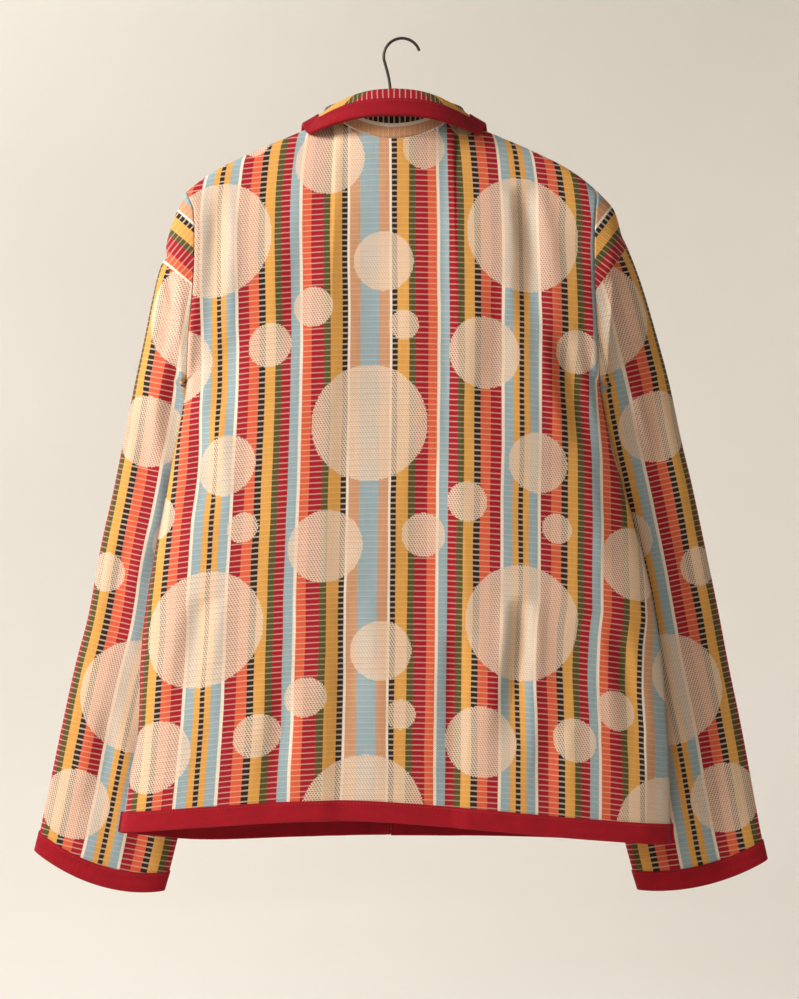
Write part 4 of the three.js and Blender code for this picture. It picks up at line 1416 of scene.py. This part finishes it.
def in_dots(u, v):
    """1 inside the dots and 0 outside."""
    across = (u / WARP).floor() * WARP + WARP / 2
    along = (v / WEFT).floor() * WEFT + WEFT / 2
    column = (across / COLUMN_PITCH + 0.5).floor()
    x = across - column * COLUMN_PITCH
    shifted = along + column * (COLUMN_HEIGHT / 2)
    y = shifted - (shifted / COLUMN_HEIGHT + 0.5).floor() * COLUMN_HEIGHT
    place = join(u, x, y)
    nearest = None
    for dot_x, dot_y, radius in dot_layout:
        settings = {"operation": "DISTANCE"}
        inputs = {0: place, 1: (dot_x, dot_y, 0)}
        gap = u.add("ShaderNodeVectorMath", settings, inputs, 1) - radius
        nearest = gap if nearest is None else nearest.least(gap)
    return nearest < 0


print("dots in a repeat:", len(dot_layout))

# %% [markdown]
# The weave itself is in the ribs' height and in a fine check of threads. The colour is a little
# uneven along each thread, and the cloth has faded unevenly over the years.

# %% Cloth material
RIB_PITCH = 5.5
RIB_HEIGHT = 0.3
RIB_PALE = 0.62
DOT_TINT = 0.15
SPECK_PITCH, SPECK_ROW = 2.8, 2.1
SPECK_SLANT, SPECK_SHARE = 0.55, 0.6
STRIPE_WANDER = 2.4
STREAKS, FADING = 0.3, 0.22
THREAD_HEIGHT, CRUMPLE_HEIGHT, GRAIN_HEIGHT = 0.09, 1.5, 0.16


def read_map(thread, name):
    """The two values of a map, in millimetres."""
    uv = thread.add("ShaderNodeUVMap", {"uv_map": name}, {})
    x = thread.add("ShaderNodeSeparateXYZ", {}, {0: uv}, 0)
    y = thread.add("ShaderNodeSeparateXYZ", {}, {0: uv}, 1)
    return x * 1000, y * 1000


def make_cloth(name, has_cap=False, has_dots=True):
    material, shader, start = start_material(name, 0.86, sheen=0.04, gloss=0.18)
    u, v = read_map(start, "cloth")
    above = 0
    if has_cap:
        cap_u, cap_v = read_map(start, "cap")
        above = 1 - (read_map(start, "fold")[0] < 0)
        u, v = u + (cap_u - u) * above, v + (cap_v - v) * above
    wander = noise(start, join(start, u * 0.03, v * 0.012), 1.0) - 0.5
    u = u + wander * STRIPE_WANDER
    half = u.there_and_back(REPEAT) / REPEAT
    base = start.add("ShaderNodeValToRGB", {"stops": stops_of(INK)}, {0: half})
    weave = start.add("ShaderNodeValToRGB", {"stops": stops_of(woven)}, {0: half})
    split = [start.add("ShaderNodeSeparateColor", {}, {0: weave}, k) for k in range(3)]
    strength, wide, fleck = split
    ragged = noise(start, join(start, u * 0.55, v * 0.05), 1.0) - 0.5
    rib = (v / RIB_PITCH + ragged * 0.12).part()
    half_rib = wide * 0.5
    on_rib = 1 - (rib - 0.5).size().soft_step(half_rib - 0.03, half_rib + 0.06)
    streak = noise(start, join(start, u * 1.3, v * 0.03), 1.0) - 0.5
    faded = noise(start, join(start, u * 0.006, v * 0.006), 1.0, 3.0) - 0.5
    threads = (u * (math.pi / WARP)).wave() * (v * (math.pi / WEFT)).wave()
    shade = 1 + streak * STREAKS + faded * FADING + threads * (0.26 - strength * 0.2)
    ribbed = base.colour_to((*CREAM, 1), on_rib * strength * RIB_PALE)
    if has_dots:
        dots = in_dots(u, v) * (1 - above)
        steps = v / SPECK_ROW
        slanted = ((u - v * SPECK_SLANT) / SPECK_PITCH).part() < 0.5
        speck = slanted * (steps.part() < SPECK_SHARE) * fleck
        pale = base.colour_to((*CREAM, 1), 1 - DOT_TINT)
        flecked = pale.colour_to(base.brightened(0.6), speck * 0.85)
        ribbed = ribbed.colour_to(flecked, dots)
    give(shader, ribbed.brightened(shade), "Base Color")
    crumple = noise(start, join(start, u * 0.045, v * 0.03), 1.0, 4.0)
    grain = noise(start, join(start, u * 0.9, v * 0.9), 1.0)
    woven_up = on_rib * RIB_HEIGHT + threads * THREAD_HEIGHT
    height = woven_up + crumple * CRUMPLE_HEIGHT + grain * GRAIN_HEIGHT
    give(shader, raise_by(start, height, 1.0), "Normal")
    give(shader, 0.82 + streak * 0.12 - on_rib * 0.06, "Roughness")
    return material


materials = {
    "body_cloth": make_cloth("body_cloth"),
    "sleeve_cloth": make_cloth("sleeve_cloth", has_cap=True),
    "collar_cloth": make_cloth("collar_cloth", has_dots=False),
}
print({name: len(m.node_tree.nodes) for name, m in materials.items()}, "nodes")

# %% [markdown]
# ## Red tape and thread
# The bindings are a matt red herringbone: fine slanted ribs that turn every few millimetres, with
# painted shade that darkens the red in their grooves.
# The thread is dyed to match, a shade lighter.

# %% Tape material
RED = colour(172, 20, 36)
DEEP_RED = colour(118, 8, 20)
HERRINGBONE = 4.2
TWILL_PITCH = 2.2


def make_tape_cloth(name, tone, groove_shade_and_wear):
    material, shader, start = start_material(name, 0.8, sheen=0.04, gloss=0.15)
    u, v = read_map(start, "cloth")
    slant = v.there_and_back(HERRINGBONE)
    twill = ((u + slant * 0.9) * (2 * math.pi / TWILL_PITCH)).wave()
    worn = noise(start, join(start, u * 0.05, v * 0.12), 1.0, 3.0) - 0.5
    fuzz = noise(start, join(start, u * 1.1, v * 1.1), 1.0) - 0.5
    # Painted shade: the red darkens towards the deep red in the twill's grooves; the worn and fuzz
    # noise makes it darker or lighter at random
    amount = 0.3 - twill * 0.24 - worn * 0.9 - fuzz * 0.5
    give(shader, two_tone(tone, groove_shade_and_wear, amount), "Base Color")
    pucker = noise(start, join(start, u * 0.16, v * 0.05), 1.0)
    height = twill * 0.16 + fuzz * 0.4 + pucker * 1.2
    give(shader, raise_by(start, height, 1.0), "Normal")
    give(shader, 0.78 + worn * 0.2, "Roughness")
    return material


def make_thread_material():
    material, shader, start = start_material("sewing_thread", 0.6, sheen=0.05, gloss=0.25)
    u, v = read_map(start, "cloth")
    strand = (u * 9 + v * 5).wave() * 0.5 + 0.5
    give(shader, two_tone(colour(190, 40, 50), DEEP_RED, strand * 0.6), "Base Color")
    give(shader, raise_by(start, strand, 0.1), "Normal")
    return material


materials["red_tape"] = make_tape_cloth("red_tape", RED, DEEP_RED)
materials["collar_binding"] = make_tape_cloth("collar_binding", colour(160, 18, 33), DEEP_RED)
materials["sewing_thread"] = make_thread_material()
print("herringbone turns every", HERRINGBONE, "mm")

# %% [markdown]
# ## Buttons and wire
# The buttons are dark horn with paler clouds. The wire is drawn steel that has dulled and spotted.

# %% Hard materials


def make_horn():
    material, shader, start = start_material("dark_horn", 0.32)
    place = start.add("ShaderNodeTexCoord", {}, {}, 3)
    cloud = noise(start, place, 260, 5.0)
    pale = cloud.soft_step(0.48, 0.72)
    give(shader, two_tone(colour(48, 30, 22), colour(128, 84, 52), pale), "Base Color")
    give(shader, 0.28 + cloud * 0.16, "Roughness")
    give(shader, raise_by(start, cloud, 0.12), "Normal")
    return material


def make_wire():
    material, shader, start = start_material("drawn_wire", 0.4)
    place = start.add("ShaderNodeTexCoord", {}, {}, 3)
    spots = noise(start, place, 420, 4.0)
    drawn = noise(start, place, 1400)
    rust = spots.soft_step(0.55, 0.75)
    give(shader, two_tone(colour(74, 66, 62), colour(58, 34, 24), rust), "Base Color")
    give(shader, 0.85 - rust * 0.6, "Metallic")
    give(shader, 0.36 + rust * 0.3 + drawn * 0.1, "Roughness")
    give(shader, raise_by(start, spots + drawn * 0.4, 0.1), "Normal")
    return material


materials["dark_horn"] = make_horn()
materials["drawn_wire"] = make_wire()
print("materials:", len(materials))

# %% [markdown]
# ## Dressing
# Each piece gets its material and rides on the one body; the solids that the pieces take the place of
# are hidden.

# %% Pieces and materials
ROOT = "root"
# Material and slot; the other tapes and all thread have the usual ones
finish_of = {
    "back": ("body_cloth", "cloth"),
    "front_left": ("body_cloth", "cloth"),
    "front_right": ("body_cloth", "cloth"),
    "sleeve_left": ("sleeve_cloth", "cloth"),
    "sleeve_right": ("sleeve_cloth", "cloth"),
    "collar": ("collar_cloth", "cloth"),
    "collar_tape": ("collar_binding", "binding"),
    "wire_hanger": ("drawn_wire", "wire"),
}
for name, piece in pieces.items():
    usual = "red_tape" if "tape" in name else "sewing_thread"
    look, slot = finish_of.get(name, (usual, "binding"))
    piece.data.materials.clear()
    piece.data.materials.append(materials[look])
    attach(piece, ROOT)
    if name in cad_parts:
        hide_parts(name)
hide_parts("hanger")
for k in range(1, BUTTON_COUNT + 1):
    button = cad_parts[f"button_{k}"]
    for slot in button.material_slots:
        slot.material = materials["dark_horn"]
print("pieces:", len(pieces))

# %% [markdown]
# ## What the cloth was cut to
# Every piece of cloth is listed with the size of the rectangle that it is cut from, and the share
# of it that its shape covers is printed.

# %% Sheets
# Width and length in metres, what each is held by, and the tapes on it
cuts = {
    "back": ((0.6, 0.745), ["hanger"], ["hem_tape_back"]),
    "front_left": ((0.32, 0.745), ["hanger", "front_right"], ["hem_tape_left", "edge_tape_left"]),
    "front_right": ((0.34, 0.745), ["hanger"], ["hem_tape_right", "edge_tape_right"]),
    "sleeve_left": ((0.46, 0.7), ["back", "front_left"], ["cuff_tape_left"]),
    "sleeve_right": ((0.46, 0.7), ["back", "front_right"], ["cuff_tape_right"]),
    "collar": ((0.5, 0.11), ["back"], ["collar_tape"]),
}
for name, (flat, holders, tapes) in cuts.items():
    holders = [pieces.get(holder, pieces["wire_hanger"]).name for holder in holders]
    area = min(areas[name], flat[0] * flat[1])
    print(name, flat, round(area / flat[0] / flat[1], 2))

# %% [markdown]
# ## Room and light
# The jacket hangs in front of a pale room. A round bowl, with a floor that turns up into a wall,
# gives the same plain ground from every side. The light comes from a large soft window at the upper
# left, with a weak fill, so the right side falls into a warm shade.

# %% Bowl
BOWL_FLOOR = -1.25
BOWL_RADIUS = 4.2
BOWL_BEND = 1.6
BOWL_HEIGHT = 4.5
BOWL_SIDES = 96
BOWL_BEND_STEPS = 12
BOWL_CENTRE = 0.02


def bowl_profile():
    turn = np.linspace(0, math.pi / 2, BOWL_BEND_STEPS + 1)
    radius = BOWL_RADIUS - BOWL_BEND + BOWL_BEND * np.sin(turn)
    height = BOWL_FLOOR + BOWL_BEND * (1 - np.cos(turn))
    top = (BOWL_RADIUS, BOWL_FLOOR + BOWL_HEIGHT)
    return [(BOWL_CENTRE, BOWL_FLOOR), *zip(radius, height), top]


def make_bowl():
    angle = np.arange(BOWL_SIDES) * 2 * math.pi / BOWL_SIDES
    profile = np.array(bowl_profile())
    r, z = profile[:, 0, None], profile[:, 1, None]
    place = np.stack(np.broadcast_arrays(r * np.cos(angle), r * np.sin(angle), z), -1)
    faces = [tuple(reversed(range(BOWL_SIDES)))]
    for i in range(len(profile) - 1):
        for k in range(BOWL_SIDES):
            near, far = i * BOWL_SIDES, (i + 1) * BOWL_SIDES
            following = (k + 1) % BOWL_SIDES
            faces.append((near + k, near + following, far + following, far + k))
    mesh = bpy.data.meshes.new("pale_ground")
    mesh.from_pydata(place.reshape(-1, 3).tolist(), [], faces)
    mesh.polygons.foreach_set("use_smooth", [True] * len(faces))
    bowl = bpy.data.objects.new("pale_ground", mesh)
    bpy.context.scene.collection.objects.link(bowl)
    material, shader, start = start_material("plaster", 0.9)
    chalk = noise(start, start.add("ShaderNodeTexCoord", {}, {}, 3), 1.5)
    give(shader, two_tone(colour(246, 243, 238), colour(240, 235, 227), chalk), "Base Color")
    mesh.materials.append(material)


make_bowl()
print("bowl's radius", BOWL_RADIUS, "m")

# %% [markdown]
# Each window has its place and aim, its size in metres, its power in watts and its tint. The two
# that light the jacket are narrowed, so that little of them falls on the ground behind it.

# %% Lights
NARROWED = 75
ROOM_TINT = (1, 0.93, 0.86, 1)
ROOM_STRENGTH = 0.09


def window(name, place, aim, size, power, tint, spread=180):
    light = bpy.data.lights.new(name, "AREA")
    light.shape = "SQUARE"
    light.size = size
    light.energy = power
    light.color = tint
    light.spread = math.radians(spread)
    lamp = bpy.data.objects.new(name, light)
    lamp.location = place
    way = Vector(aim) - Vector(place)
    lamp.rotation_euler = way.to_track_quat("-Z", "Y").to_euler()
    lamp.visible_camera = False
    bpy.context.scene.collection.objects.link(lamp)
    print(name, power, "W")


window("key", (-2.8, -1.55, 1.1), (-0.05, 0, -0.44), 0.9, 28, (1, 0.985, 0.96), NARROWED)
window("front", (-0.9, -3.1, 0.9), (0, 0, -0.5), 1.0, 3.2, (1, 0.96, 0.9), NARROWED)
window("back_wall_left", (-1.8, 1.5, 2.2), (-2.6, 4.0, 0.0), 1.5, 84, (1, 0.98, 0.94))
window("from_behind", (-0.8, 2.6, 1.8), (0, 0, -0.5), 1.5, 10, (1, 0.95, 0.9))
world = bpy.data.worlds.new("room")
world.use_nodes = True
room = world.node_tree.nodes["Background"]
room.inputs["Color"].default_value = ROOM_TINT
room.inputs["Strength"].default_value = ROOM_STRENGTH
bpy.context.scene.world = world
bpy.context.scene.view_settings.view_transform = "Standard"
